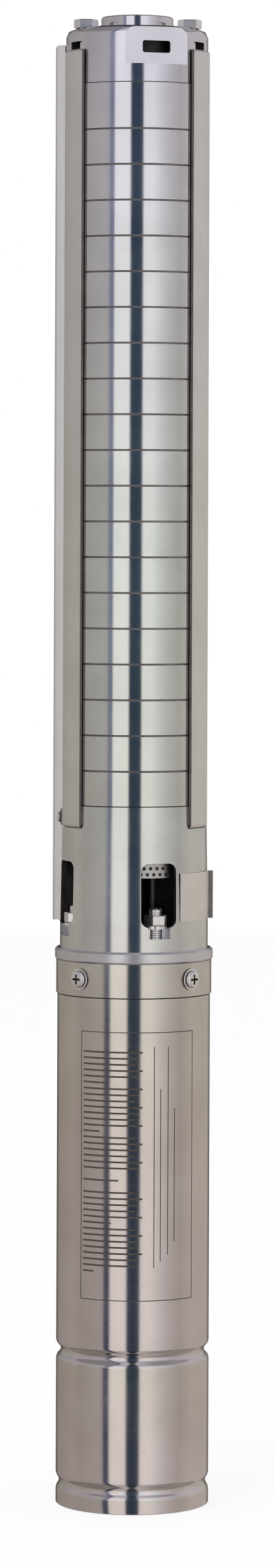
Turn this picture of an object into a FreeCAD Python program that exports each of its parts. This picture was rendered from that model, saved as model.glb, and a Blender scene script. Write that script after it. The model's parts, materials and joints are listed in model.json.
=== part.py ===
import FreeCAD, Part
import math
import os
import re
import Sketcher

# Borehole submersible pump for a 4 inch well: a stack of stages in stainless steel
# on top of a canned motor. Millimetres, Z up, origin in the middle of the motor's
# foot. Directions around the axis are in degrees, from the front (-Y) towards +X.

SIZES = {
    # heights, from the foot to the outlet
    "motor_length": 346,
    "lantern_height": 89,
    "stage_height": 22,
    "stage_count": 19,
    "top_chamber_height": 29,
    "head_height": 35,
    "neck_height": 8,
    # fits
    "slip": 0.05,
    "running": 0.05,
    "free_gap": 0.4,
    "joint_gap": 0.05,
    "cut_over": 1,
    # motor shell with its two rolled beads
    "motor_radius": 47.5,
    "shell_wall": 1.5,
    "shell_lift": 0.5,
    "bead_half": 4,
    "low_bead_height": 14.2,
    "low_bead_depth": 2,
    "high_bead_height": 96,
    "high_bead_depth": 3,
    # motor foot and pressure diaphragm
    "foot_bevel": 4.5,
    "foot_edge": 2.9,
    "foot_floor": 8,
    "foot_height": 22,
    "foot_cup_wall": 4.95,
    "vent_radius": 3,
    "vent_circle": 26,
    "diaphragm_sheet": 2.5,
    "diaphragm_height": 16,
    "diaphragm_rim": 15.95,
    # lower bearing bracket and thrust bearing
    "bracket_rise": 12,
    "bracket_wall": 6.9,
    "bracket_web_drop": 12,
    "bracket_web": 12,
    "bracket_lip_height": 50,
    "bracket_lip": 4,
    "bracket_lip_reach": 11,
    "bracket_cup_wall": 4.95,
    "carrier_height": 6,
    "carrier_bore": 12,
    "pad_height": 6.5,
    "pad_inner": 14,
    "pad_clear": 7,
    "pad_angle": 46,
    "pad_count": 6,
    "thrust_film": 0.1,
    "thrust_disc_clear": 5,
    "thrust_disc_height": 9,
    "thrust_disc_floor": 3,
    # motor shaft, rotor and stator
    "journal_radius": 9,
    "shaft_step_radius": 12,
    "shaft_end_radius": 8,
    "shaft_seal_length": 6,
    "shaft_shoulder": 12,
    "core_gap": 22,
    "core_headroom": 51,
    "air_gap": 0.5,
    "rotor_radius": 24,
    "rotor_ring_height": 8,
    "rotor_ring_wall": 9,
    "winding_height": 17,
    "winding_inner": 27,
    "winding_clear": 4.95,
    "winding_bevel": 4,
    "bush_radius": 13,
    "bush_length": 16,
    # motor flange
    "flange_ring_height": 7.5,
    "flange_rise": 1.6,
    "flange_edge": 1.2,
    "flange_web": 10.5,
    "flange_rim_depth": 22,
    "flange_rim_wall": 8,
    "flange_hub_wall": 7,
    "pilot_step": 3.85,
    "pilot_height": 3,
    "seal_pocket_radius": 16,
    "seal_pocket_depth": 15,
    "seal_height": 12,
    # screwed sleeve at the top of the motor shell
    "sleeve_height": 20.5,
    "sleeve_sheet": 0.8,
    "sleeve_screw_drop": 9.9,
    "sleeve_screw_angle": 46.5,
    "sleeve_screw_radius": 2.5,
    "sleeve_screw_reach": 9,
    "screw_head_radius": 5.4,
    "screw_head_height": 2.4,
    "screw_washer_radius": 6.8,
    "screw_washer": 1,
    # studs that hold the pump end on the motor
    "stud_inset": 9.4,
    "stud_angle": 20,
    "stud_count": 4,
    "stud_radius": 4,
    "stud_depth": 13,
    "stud_rise": 26.5,
    "stud_play": 0.3,
    "nut_flats": 13,
    "nut_height": 6.5,
    "stud_washer_radius": 7.5,
    "stud_washer": 1.9,
    # suction lantern
    "lantern_step": 1.5,
    "lantern_taper": 1.2,
    "lantern_wall": 3.1,
    "lantern_foot_height": 14,
    "lantern_foot_ring": 16,
    "lantern_plate": 5,
    "window_width": 23,
    "window_sill": 1,
    "window_height": 39.4,
    "window_corner": 5,
    "stud_recess_width": 14.6,
    "stud_recess_height": 7,
    "stud_recess_depth": 6,
    # suction strainer
    "strainer_clear": 3.7,
    "strainer_sheet": 1,
    "strainer_height": 27,
    "strainer_drop": 12,
    "strainer_eye": 15,
    "strainer_rim": 1.2,
    # data plate
    "plate_thickness": 0.7,
    "plate_height": 29.5,
    "plate_lift": 4.5,
    "plate_left_angle": 38,
    "plate_right_angle": 84,
    "plate_lip": 2.5,
    "plate_lip_sheet": 1,
    "plate_clear": 0.1,
    # stages
    "stage_step": 3,
    "chamber_wall": 1.5,
    "chamber_edge": 0.6,
    "chamber_plate": 1.6,
    "spigot_height": 0.8,
    "eye_radius": 18,
    "return_vane_count": 6,
    "return_vane_inner": 19.5,
    "return_vane_clear": 4,
    "return_vane_wrap": 52,
    "return_vane_height": 9,
    "return_vane_sheet": 1.4,
    "wear_ring_wall": 1.4,
    "wear_ring_height": 2.4,
    # impellers
    "impeller_clear": 7.5,
    "impeller_neck_wall": 1.6,
    "impeller_neck_dip": 1.2,
    "impeller_low": 2,
    "shroud": 1,
    "impeller_width": 4.4,
    "hub_radius": 9,
    "blade_count": 6,
    "blade_inner": 16.5,
    "blade_inset": 0.5,
    "blade_wrap": 62,
    "blade_sheet": 1.2,
    # pump shaft and what is threaded on it
    "shaft_flats": 12,
    "journal_sleeve_radius": 8.7,
    "journal_sleeve_bore": 7,
    "collar_height": 8,
    "shaft_thread_radius": 6,
    "shaft_gap": 0.5,
    "shaft_stub": 22,
    "shaft_nut_flats": 17,
    "shaft_nut_height": 7,
    "shaft_end": 1,
    "journal_rise": 1,
    "coupling_radius": 13,
    "coupling_length": 44,
    "coupling_lift": 12,
    "shaft_entry": 25,
    # top bearing
    "top_bush_radius": 11,
    "top_hub_wall": 4,
    "top_hub_low": 4,
    "top_hub_height": 14,
    "spider_rib": 3,
    "spider_count": 4,
    "rib_step": 1,
    "top_ledge": 3,
    "top_ledge_reach": 3.5,
    # check valve
    "seat_bore": 18.5,
    "seat_plate": 2.5,
    "seat_lip_wall": 2.5,
    "seat_lip_rise": 2.5,
    "cup_overhang": 1.5,
    "cup_plate": 2.5,
    "stem_radius": 4.5,
    "stem_length": 19,
    "stem_running": 0.08,
    "guide_ring_wall": 2.9,
    "guide_ring_height": 5,
    "guide_hub_wall": 3.2,
    "guide_hub_height": 6,
    "guide_hub_drop": 1,
    "guide_arm": 4,
    "guide_arm_count": 3,
    "spring_wire": 0.5,
    "spring_radius": 6.4,
    "spring_turns": 3.5,
    "spring_seat": 0.3,
    # discharge head
    "head_inset": 0.3,
    "head_round": 5,
    "head_step": 2.6,
    "neck_radius": 22.4,
    "neck_edge": 0.8,
    "outlet_radius": 19.5,
    "thread_length": 16,
    "valve_chamber_radius": 27,
    "valve_chamber_low": 9,
    "ring_pocket_wall": 6.3,
    "ring_pocket_width": 7.4,
    "ring_pocket_low": 17,
    "ring_pocket_high": 27,
    "slot_low": 18,
    "slot_height": 8,
    "slot_width": 13,
    "flat_width": 40,
    "flat_low": 11,
    "flat_height": 23,
    "rope_angle": 17.5,
    "rope_slot_width": 17.9,
    "rope_slot_height": 7.5,
    "rope_slot_corner": 1.5,
    # straps that clamp the stack, and their bolts
    "strap_sheet": 2,
    "strap_clear": 0.5,
    "strap_width": 20.5,
    "strap_left_angle": -59,
    "strap_count": 3,
    "strap_bend": 2.5,
    "hook_reach": 1.2,
    "hook_drop": 13.5,
    "hook_play": 0.3,
    "tongue_width": 12.2,
    "tongue_sheet": 3,
    "tongue_clear": 1,
    "bolt_inset": 7.2,
    "bolt_radius": 4,
    "bolt_length": 24,
    "bolt_head": 5.3,
    "bolt_flats": 13,
    "bolt_play": 0.3,
    "bolt_clear": 2,
    "spotface_radius": 8.6,
    "spotface": 0.4,
    # cable guard
    "guard_angle": -105,
    "guard_half": 10.5,
    "guard_sheet": 1,
    "guard_rise": 3,
    "guard_round": 1.5,
    "guard_sink": 0.6,
    "guard_low": 16.5,
    "guard_top_drop": 9,
    "guard_end": 3,
    "guard_tongue": 2,
    "guard_recess_play": 0.2,
    "guard_play": 0.6,
    "ear_height": 10,
    "ear_centre_drop": 8,
    "ear_lift": 0.4,
    "ear_sheet": 1,
    "ear_angle": 18.6,
    "ear_end_angle": 23.4,
    "ear_start_angle": 12.2,
    "ear_screw_radius": 2,
    "ear_screw_head": 3.4,
    "ear_screw_head_height": 1.8,
    # motor lead and its moulded plug
    "lead_width": 11,
    "lead_thickness": 4,
    "lead_inset": 2.45,
    "lead_sink": 3.2,
    "lead_rise": 6,
    "lead_slant": 15,
    "lead_low_bend": 12,
    "lead_high_bend": 36,
    "lead_end_drop": 32,
    "plug_width": 13.2,
    "plug_thickness": 5.8,
    "plug_corner": 2.6,
    "plug_depth": 13,
    "plug_rise": 1,
    "plug_play": 0.3,
    "lead_notch_width": 14.5,
    "lead_notch_depth": 3.4,
    "lead_notch_height": 24,
}

# Levels and radii that follow from the sizes above.
DERIVED = {
    "flange_low": "motor_length - flange_ring_height",
    "lantern_top": "motor_length + lantern_height",
    "stack_top": "lantern_top + stage_height * stage_count",
    "head_low": "stack_top + top_chamber_height",
    "head_top": "head_low + head_height",
    "outlet_top": "head_top + neck_height",
    "shell_inner": "motor_radius - shell_wall",
    "seat_in_shell": "shell_inner - slip",
    "foot_flat_radius": "motor_radius - foot_bevel",
    "foot_cup_radius": "seat_in_shell - foot_cup_wall",
    "diaphragm_radius": "seat_in_shell - diaphragm_rim",
    "low_bead_inner": "shell_inner - low_bead_depth",
    "high_bead_inner": "shell_inner - high_bead_depth",
    "bead_floor": "bead_half / 3",
    "bead_crest": "bead_half - shell_wall / 2",
    "bead_root": "bead_half + shell_wall",
    "diaphragm_low": "foot_height",
    "bracket_low": "foot_height + diaphragm_sheet",
    "bracket_lip_top": "bracket_lip_height + bracket_lip",
    "bracket_top": "high_bead_height + bracket_rise",
    "bracket_web_low": "high_bead_height - bracket_web_drop",
    "bracket_cup_radius": "seat_in_shell - bracket_cup_wall",
    "bracket_lip_radius": "bracket_cup_radius - bracket_lip_reach",
    "pad_low": "bracket_lip_top + carrier_height",
    "disc_low": "pad_low + pad_height + thrust_film",
    "disc_top": "disc_low + thrust_disc_height",
    "pad_outer": "bracket_cup_radius - pad_clear",
    "thrust_disc_radius": "bracket_cup_radius - thrust_disc_clear",
    "core_low": "bracket_top + core_gap",
    "core_top": "motor_length - core_headroom",
    "winding_outer": "seat_in_shell - winding_clear",
    "stator_bore": "rotor_radius + air_gap",
    "flange_web_low": "flange_low - flange_web",
    "flange_rim_low": "flange_low - flange_rim_depth",
    "pilot_top": "motor_length + pilot_height",
    "flange_ring_radius": "motor_radius + flange_rise",
    "pilot_radius": "motor_radius - pilot_step",
    "stud_circle": "motor_radius - stud_inset",
    "seal_pocket_low": "pilot_top - seal_pocket_depth",
    "screw_height": "flange_low - sleeve_screw_drop",
    "sleeve_outer": "motor_radius + sleeve_sheet",
    "foot_ring_top": "motor_length + lantern_foot_height",
    "lantern_foot_radius": "motor_radius - lantern_step",
    "lantern_top_radius": "lantern_foot_radius - lantern_taper",
    "lantern_inner_radius": "lantern_top_radius - lantern_wall",
    "lantern_foot_bore": "lantern_foot_radius - lantern_foot_ring",
    "strainer_radius": "lantern_inner_radius - strainer_clear",
    "nut_low": "foot_ring_top + stud_washer",
    "chamber_height": "stage_height - joint_gap",
    "stage_radius": "motor_radius - stage_step",
    "chamber_inner": "stage_radius - chamber_wall",
    "spigot_radius": "chamber_inner - slip",
    "return_vane_outer": "chamber_inner - return_vane_clear",
    "impeller_radius": "chamber_inner - impeller_clear",
    "blade_outer": "impeller_radius - blade_inset",
    "top_ledge_radius": "chamber_inner - top_ledge_reach",
    "plate_low": "lantern_top + chamber_height - chamber_plate",
    "wear_ring_outer": "eye_radius - slip",
    "wear_ring_inner": "wear_ring_outer - wear_ring_wall",
    "neck_outer": "wear_ring_inner - free_gap",
    "neck_inner": "neck_outer - impeller_neck_wall",
    "blade_low": "lantern_top + impeller_low + shroud",
    "blade_high": "blade_low + impeller_width",
    "hub_top": "blade_low + stage_height - joint_gap",
    "journal_low": "blade_low + stage_height * stage_count",
    "top_hub_bottom": "stack_top + top_hub_low",
    "top_hub_top": "top_hub_bottom + top_hub_height",
    "shaft_nut_low": "top_hub_top + journal_rise",
    "coupling_low": "motor_length + coupling_lift",
    "coupling_top": "coupling_low + coupling_length",
    "motor_shaft_top": "coupling_low + shaft_entry",
    "pump_shaft_low": "motor_shaft_top + shaft_gap",
    "seat_top": "head_low + seat_plate",
    "lip_top": "seat_top + seat_lip_rise",
    "cup_radius": "seat_bore + seat_lip_wall + cup_overhang",
    "cup_top": "lip_top + cup_plate",
    "bore_low": "outlet_top - thread_length",
    "guide_hub_bore": "stem_radius + stem_running",
    "guide_hub_outer": "guide_hub_bore + guide_hub_wall",
    "guide_hub_top": "bore_low - guide_hub_drop",
    "guide_hub_low": "guide_hub_top - guide_hub_height",
    "slot_bottom": "head_low + slot_low",
    "slot_top": "slot_bottom + slot_height",
    "head_radius": "stage_radius - head_inset",
    "ring_pocket_outer": "head_radius - ring_pocket_wall",
    "ring_pocket_inner": "ring_pocket_outer - ring_pocket_width",
    "bolt_circle": "head_radius - bolt_inset",
    "tongue_end_radius": "ring_pocket_inner + tongue_clear",
    "strap_inner": "stage_radius + strap_clear",
    "strap_outer": "strap_inner + strap_sheet",
    "strap_angle": "2 * asin(strap_width / 2 / strap_outer)",
    "tongue_top": "slot_bottom + tongue_sheet",
    "hook_low": "lantern_top - hook_drop",
    "hook_top": "hook_low + strap_sheet",
    "guard_bottom": "motor_length + guard_low",
    "guard_top": "head_top - guard_top_drop",
    "guard_radius": "strap_outer + guard_rise",
    "guard_foot": "head_radius - guard_sink",
    "guard_recess": "guard_foot - guard_recess_play",
    "ear_radius": "lantern_top_radius + ear_lift",
    "lead_exit_radius": "pilot_radius - lead_inset",
    "lead_run_radius": "guard_radius - lead_sink",
    "lead_notch_radius": "lead_exit_radius - lead_notch_depth",
    "ear_low": "lantern_top - ear_centre_drop - ear_height / 2",
    "lead_start": "motor_length + plug_rise",
    "lead_first_turn": "lead_start + lead_rise",
    "lead_second_turn": "lead_first_turn + lead_slant",
    "lead_shift": "lead_run_radius - lead_exit_radius",
    "lead_angle": "atan(lead_shift / lead_slant)",
    "lead_low_tangent": "lead_low_bend * tan(lead_angle / 2)",
    "lead_high_tangent": "lead_high_bend * tan(lead_angle / 2)",
    "lead_half": "lead_thickness / 2",
    "lead_top": "head_top - lead_end_drop",
}

doc = FreeCAD.newDocument("BoreholePump")
sheet = doc.addObject("Spreadsheet::Sheet", "Sizes")
for row, (alias, number) in enumerate(SIZES.items(), start=1):
    sheet.set(f"A{row}", alias)
    sheet.set(f"B{row}", str(number))
    sheet.setAlias(f"B{row}", alias)
doc.recompute()

subParts = []


def bound(expression):
    """The expression with each size as a cell of the sheet."""

    def cell(word):
        name = word.group(0)
        if name in SIZES:
            return f"Sizes.{name}"
        if name in DERIVED:
            return f"({bound(DERIVED[name])})"
        return name

    return re.sub(r"[a-z][a-z_]+", cell, str(expression))


def size(expression):
    """What the expression comes to, as a number."""
    value = sheet.evalExpression(bound(expression))
    return float(getattr(value, "Value", value))


def new_body(label):
    body = doc.addObject("PartDesign::Body", label)
    body.Label = label
    subParts.append(body)
    return body


def origin_part(body, role):
    return next(item for item in body.Origin.OriginFeatures if item.Role == role)


def new_sketch(body, plane, turn="0", shift=("0", "0", "0")):
    """A sketch on an origin plane, turned about the pump's axis and then shifted."""
    sketch = body.newObject("Sketcher::SketchObject", "Sketch")
    sketch.AttachmentSupport = [(origin_part(body, plane), "")]
    sketch.MapMode = "FlatFace"
    axis = FreeCAD.Vector(0, 0, 1) if plane == "XY_Plane" else FreeCAD.Vector(0, 1, 0)
    # a turn of 0 would lose the axis
    turned = FreeCAD.Rotation(axis, size(turn) or 360)
    sketch.AttachmentOffset = FreeCAD.Placement(FreeCAD.Vector(*map(size, shift)), turned)
    if turn != "0":
        sketch.setExpression("AttachmentOffset.Rotation.Angle", bound(turn))
    for letter, amount in zip("xyz", shift):
        if amount != "0":
            sketch.setExpression(f"AttachmentOffset.Base.{letter}", bound(amount))
    return sketch


def draw(sketch, outline):
    """A closed outline. A corner is (x, y), or (x, y, radius, turn) after an arc,
    where turn is 1 for an arc to the left and -1 for an arc to the right."""
    corners = [FreeCAD.Vector(size(c[0]), size(c[1]), 0) for c in outline]
    first = sketch.GeometryCount
    shapes = []
    ends = []
    for i, corner in enumerate(outline):
        start, end = corners[i - 1], corners[i]
        if len(corner) == 2:
            shapes.append(Part.LineSegment(start, end))
            ends.append((1, 2))
            continue
        radius, turn = size(corner[2]), corner[3]
        chord = end - start
        across = FreeCAD.Vector(-chord.y, chord.x, 0).normalize()
        depth = math.sqrt(max(radius ** 2 - (chord.Length / 2) ** 2, 0))
        centre = (start + end) / 2 + across * depth * turn
        low, high = (start, end) if turn > 0 else (end, start)
        circle = Part.Circle(centre, FreeCAD.Vector(0, 0, 1), radius)
        angles = [math.atan2(p.y - centre.y, p.x - centre.x) for p in (low, high)]
        shapes.append(Part.ArcOfCircle(circle, angles[0], angles[1]))
        ends.append((1, 2) if turn > 0 else (2, 1))
    sketch.addGeometry(shapes, False)
    ties = []
    sizes = []
    for i, corner in enumerate(outline):
        edge, end = first + i, ends[i][1]
        following = (i + 1) % len(outline)
        ties.append(Sketcher.Constraint("Coincident", edge, end, first + following, ends[following][0]))
        for kind, amount, axis in (("DistanceX", corner[0], -2), ("DistanceY", corner[1], -1)):
            if amount == "0":
                ties.append(Sketcher.Constraint("PointOnObject", edge, end, axis))
                continue
            sizes.append((len(ties), amount))
            ties.append(Sketcher.Constraint(kind, -1, 1, edge, end, size(amount)))
        if len(corner) > 2:
            sizes.append((len(ties), corner[2]))
            ties.append(Sketcher.Constraint("Radius", edge, size(corner[2])))
    before = sketch.ConstraintCount
    sketch.addConstraint(ties)
    for index, amount in sizes:
        sketch.setExpression(f"Constraints[{before + index}]", bound(amount))


def draw_circle(sketch, x, y, radius):
    centre = FreeCAD.Vector(size(x), size(y), 0)
    edge = sketch.addGeometry(Part.Circle(centre, FreeCAD.Vector(0, 0, 1), size(radius)), False)
    for kind, amount, axis in (("DistanceX", x, -2), ("DistanceY", y, -1)):
        if amount == "0":
            sketch.addConstraint(Sketcher.Constraint("PointOnObject", edge, 3, axis))
        else:
            index = sketch.addConstraint(Sketcher.Constraint(kind, -1, 1, edge, 3, size(amount)))
            sketch.setExpression(f"Constraints[{index}]", bound(amount))
    index = sketch.addConstraint(Sketcher.Constraint("Radius", edge, size(radius)))
    sketch.setExpression(f"Constraints[{index}]", bound(radius))


def box_outline(left, low, right, high):
    return [(left, low), (right, low), (right, high), (left, high)]


def round_box(half, low, high, corner):
    """A rectangle centred on the vertical axis with rounded corners."""
    inner = f"{half} - {corner}"
    return [(f"-({half})", f"{low} + {corner}"),
            (f"-({inner})", low, corner, 1),
            (inner, low),
            (half, f"{low} + {corner}", corner, 1),
            (half, f"{high} - {corner}"),
            (inner, high, corner, 1),
            (f"-({inner})", high),
            (f"-({half})", f"{high} - {corner}", corner, 1)]


def hexagon(flats, x="0", y="0"):
    """Corners of a hexagon with two of its flats square to the x axis."""
    half, point = f"({flats}) / 2", f"({flats}) / sqrt(3)"
    return [(f"{x} + {half}", f"{y} - {point} / 2"),
            (f"{x} + {half}", f"{y} + {point} / 2"),
            (f"{x} + 0", f"{y} + {point}"),
            (f"{x} - {half}", f"{y} + {point} / 2"),
            (f"{x} - {half}", f"{y} - {point} / 2"),
            (f"{x} + 0", f"{y} - {point}")]


def sector(inner, outer, first, last):
    """A piece of a ring, between two directions from the x axis."""
    return [(f"{outer} * cos({first})", f"{outer} * sin({first})"),
            (f"{outer} * cos({last})", f"{outer} * sin({last})", outer, 1),
            (f"{inner} * cos({last})", f"{inner} * sin({last})"),
            (f"{inner} * cos({first})", f"{inner} * sin({first})", inner, -1)]


def blade(inner, outer, wrap, thickness):
    """Plan of a blade of sheet that leans back from its inner to its outer end."""
    far, aside = f"{outer} * cos({wrap})", f"{outer} * sin({wrap})"
    lean = f"atan2({aside}; {far} - {inner})"
    shift, rise = f"{thickness} * sin({lean})", f"{thickness} * cos({lean})"
    return [(inner, "0"), (far, aside), (f"{far} - {shift}", f"{aside} + {rise}"),
            (f"{inner} - {shift}", rise)]


def set_size(feature, name, expression):
    amount = size(expression)
    setattr(feature, name, round(amount) if name == "Occurrences" else amount)
    feature.setExpression(name, bound(expression))


def revolve(body, outlines, kind="Revolution", turn="0", angle=None):
    """Turns outlines of (radius, height) about the pump's axis."""
    sketch = new_sketch(body, "XZ_Plane", turn)
    for outline in outlines:
        draw(sketch, outline)
    feature = body.newObject(f"PartDesign::{kind}", kind)
    feature.Profile = sketch
    feature.ReferenceAxis = (sketch, ["V_Axis"])
    if angle:
        set_size(feature, "Angle", angle)
        feature.Midplane = True
    else:
        feature.Angle = 360
    return feature


def raise_flat(body, outline, low, high, kind="Pad", turn="0"):
    """Gives a plan outline a height. Its x axis points along the direction turn."""
    level = high if kind == "Pocket" else low
    direction = "0" if turn == "0" else f"{turn} - 90"
    sketch = new_sketch(body, "XY_Plane", direction, ("0", "0", level))
    if len(outline) == 3 and isinstance(outline[0], str):
        draw_circle(sketch, *outline)
    else:
        draw(sketch, outline)
    feature = body.newObject(f"PartDesign::{kind}", kind)
    feature.Profile = sketch
    set_size(feature, "Length", f"({high}) - ({low})")
    return feature


def reach_in(body, outline, turn, inner, outer, kind="Pocket"):
    """Carries an outline of (sideways, height) along the radius in direction turn."""
    level = outer if kind == "Pocket" else inner
    shift = (f"({level}) * sin({turn})", "0", f"({level}) * cos({turn})")
    sketch = new_sketch(body, "XZ_Plane", turn, shift)
    if len(outline) == 3 and isinstance(outline[0], str):
        draw_circle(sketch, *outline)
    else:
        draw(sketch, outline)
    feature = body.newObject(f"PartDesign::{kind}", kind)
    feature.Profile = sketch
    set_size(feature, "Length", f"({outer}) - ({inner})")
    return feature


def side_profile(body, outline, turn, width, kind="Pad"):
    """Gives an outline of (radius, height) a width across the direction turn."""
    sketch = new_sketch(body, "XZ_Plane", f"{turn} - 90")
    draw(sketch, outline)
    feature = body.newObject(f"PartDesign::{kind}", kind)
    feature.Profile = sketch
    feature.Midplane = True
    set_size(feature, "Length", width)
    return feature


def around(body, features, count):
    """Repeats features in equal steps around the axis."""
    pattern = body.newObject("PartDesign::PolarPattern", "PolarPattern")
    pattern.Originals = features
    pattern.Axis = (origin_part(body, "Z_Axis"), [""])
    pattern.Angle = 360
    set_size(pattern, "Occurrences", count)
    body.Tip = pattern


def stacked(body, count):
    """Repeats the whole piece upwards, one stage height apart."""
    doc.recompute()
    pattern = body.newObject("PartDesign::LinearPattern", "LinearPattern")
    pattern.TransformMode = "Whole shape"
    pattern.Direction = (origin_part(body, "Z_Axis"), [""])
    pattern.Mode = "Spacing"
    set_size(pattern, "Offset", "stage_height")
    set_size(pattern, "Occurrences", count)
    body.Tip = pattern


def ring(inner, outer, low, high):
    return box_outline(inner, low, outer, high)


def turned_piece(label, *outlines):
    body = new_body(label)
    revolve(body, outlines)
    return body


# Motor: foot, diaphragm and lower bracket

def base_cap():
    body = turned_piece("base_cap", [
        ("0", "0"), ("foot_flat_radius", "0"), ("seat_in_shell", "foot_edge"),
        ("seat_in_shell", "low_bead_height - bead_root - slip"),
        ("low_bead_inner - slip", "low_bead_height - bead_crest - slip"),
        ("low_bead_inner - slip", "low_bead_height + bead_crest + slip"),
        ("seat_in_shell", "low_bead_height + bead_root + slip"),
        ("seat_in_shell", "foot_height"), ("foot_cup_radius", "foot_height"),
        ("foot_cup_radius", "foot_floor"), ("0", "foot_floor")])
    vent = raise_flat(body, ("vent_circle", "0", "vent_radius"), "0", "foot_floor", "Pocket")
    around(body, [vent], "stud_count")


def diaphragm():
    turned_piece("diaphragm", [
        ("0", "diaphragm_low + diaphragm_height - diaphragm_sheet"),
        ("diaphragm_radius - diaphragm_sheet", "diaphragm_low + diaphragm_height - diaphragm_sheet"),
        ("diaphragm_radius - diaphragm_sheet", "diaphragm_low"),
        ("seat_in_shell", "diaphragm_low"), ("seat_in_shell", "bracket_low"),
        ("diaphragm_radius", "bracket_low"),
        ("diaphragm_radius", "diaphragm_low + diaphragm_height"),
        ("0", "diaphragm_low + diaphragm_height")])


def lower_bracket():
    turned_piece("lower_bracket", [
        ("bracket_cup_radius", "bracket_low"), ("seat_in_shell", "bracket_low"),
        ("seat_in_shell", "high_bead_height - bead_root - slip"),
        ("high_bead_inner - slip", "high_bead_height - bead_crest - slip"),
        ("high_bead_inner - slip", "high_bead_height + bead_crest + slip"),
        ("seat_in_shell", "high_bead_height + bead_root + slip"),
        ("seat_in_shell", "bracket_top"), ("seat_in_shell - bracket_wall", "bracket_top"),
        ("seat_in_shell - bracket_wall", "bracket_web_low + bracket_web"),
        ("bush_radius", "bracket_web_low + bracket_web"), ("bush_radius", "bracket_web_low"),
        ("bracket_cup_radius", "bracket_web_low"), ("bracket_cup_radius", "bracket_lip_top"),
        ("bracket_lip_radius", "bracket_lip_top"), ("bracket_lip_radius", "bracket_lip_height"),
        ("bracket_cup_radius", "bracket_lip_height")])


def thrust_bearing():
    body = turned_piece("thrust_bearing", ring(
        "carrier_bore", "bracket_cup_radius - slip", "bracket_lip_top", "pad_low"))
    pad = raise_flat(body, sector("pad_inner", "pad_outer", "0 - pad_angle / 2", "pad_angle / 2"),
                     "pad_low", "pad_low + pad_height")
    around(body, [pad], "pad_count")


def thrust_disc():
    turned_piece("thrust_disc", [
        ("0", "disc_low"), ("thrust_disc_radius", "disc_low"), ("thrust_disc_radius", "disc_top"),
        ("shaft_end_radius + slip", "disc_top"),
        ("shaft_end_radius + slip", "disc_low + thrust_disc_floor"),
        ("0", "disc_low + thrust_disc_floor")])


# Motor: shell, stator, rotor and bearings

def motor_shell():
    body = turned_piece("motor_shell", [
        ("shell_inner", "shell_lift"), ("motor_radius", "shell_lift"),
        ("motor_radius", "low_bead_height - bead_half"),
        ("motor_radius - low_bead_depth", "low_bead_height - bead_floor"),
        ("motor_radius - low_bead_depth", "low_bead_height + bead_floor"),
        ("motor_radius", "low_bead_height + bead_half"),
        ("motor_radius", "high_bead_height - bead_half"),
        ("motor_radius - high_bead_depth", "high_bead_height - bead_floor"),
        ("motor_radius - high_bead_depth", "high_bead_height + bead_floor"),
        ("motor_radius", "high_bead_height + bead_half"),
        ("motor_radius", "flange_low"), ("shell_inner", "flange_low"),
        ("shell_inner", "high_bead_height + bead_root"),
        ("high_bead_inner", "high_bead_height + bead_crest"),
        ("high_bead_inner", "high_bead_height - bead_crest"),
        ("shell_inner", "high_bead_height - bead_root"),
        ("shell_inner", "low_bead_height + bead_root"),
        ("low_bead_inner", "low_bead_height + bead_crest"),
        ("low_bead_inner", "low_bead_height - bead_crest"),
        ("shell_inner", "low_bead_height - bead_root")])
    hole = reach_in(body, ("0", "screw_height", "sleeve_screw_radius + slip"),
                    "sleeve_screw_angle", "shell_inner - cut_over", "motor_radius + cut_over")
    around(body, [hole], "stud_count")


def stator_core():
    turned_piece("stator_core", ring("stator_bore", "seat_in_shell", "core_low", "core_top"))


def winding(low, high, side):
    """End turns with bevelled edges at the end away from the core, above or below it."""
    away = f"{high} - winding_bevel" if side > 0 else f"{low} + winding_bevel"
    tip = high if side > 0 else low
    core = low if side > 0 else high
    return [("winding_inner", core), ("winding_outer", core), ("winding_outer", away),
            ("winding_outer - winding_bevel", tip), ("winding_inner + winding_bevel", tip),
            ("winding_inner", away)]


def stator_windings():
    turned_piece("stator_windings",
                 winding("core_low - winding_height", "core_low", -1),
                 winding("core_top", "core_top + winding_height", 1))


def motor_shaft():
    turned_piece("motor_shaft", [
        ("0", "disc_low + thrust_disc_floor"), ("shaft_end_radius", "disc_low + thrust_disc_floor"),
        ("shaft_end_radius", "disc_top"), ("journal_radius", "disc_top"),
        ("journal_radius", "core_low - shaft_shoulder"),
        ("shaft_step_radius", "core_low - shaft_shoulder"),
        ("shaft_step_radius", "core_top + shaft_shoulder"),
        ("journal_radius", "core_top + shaft_shoulder"),
        ("journal_radius", "motor_length + shaft_seal_length"),
        ("shaft_end_radius", "motor_length + shaft_seal_length"),
        ("shaft_end_radius", "motor_shaft_top"), ("0", "motor_shaft_top")])


def rotor_core():
    turned_piece("rotor_core", [
        ("shaft_step_radius + slip", "core_low - rotor_ring_height"),
        ("shaft_step_radius + rotor_ring_wall", "core_low - rotor_ring_height"),
        ("shaft_step_radius + rotor_ring_wall", "core_low"), ("rotor_radius", "core_low"),
        ("rotor_radius", "core_top"), ("shaft_step_radius + rotor_ring_wall", "core_top"),
        ("shaft_step_radius + rotor_ring_wall", "core_top + rotor_ring_height"),
        ("shaft_step_radius + slip", "core_top + rotor_ring_height")])


def motor_bearings():
    turned_piece("motor_bearings",
                 ring("journal_radius + running", "bush_radius - slip",
                      "bracket_web_low", "bracket_web_low + bracket_web"),
                 ring("journal_radius + running", "bush_radius - slip",
                      "seal_pocket_low - bush_length", "seal_pocket_low"))


# Motor flange with its seal, sleeve, studs and screws

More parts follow.
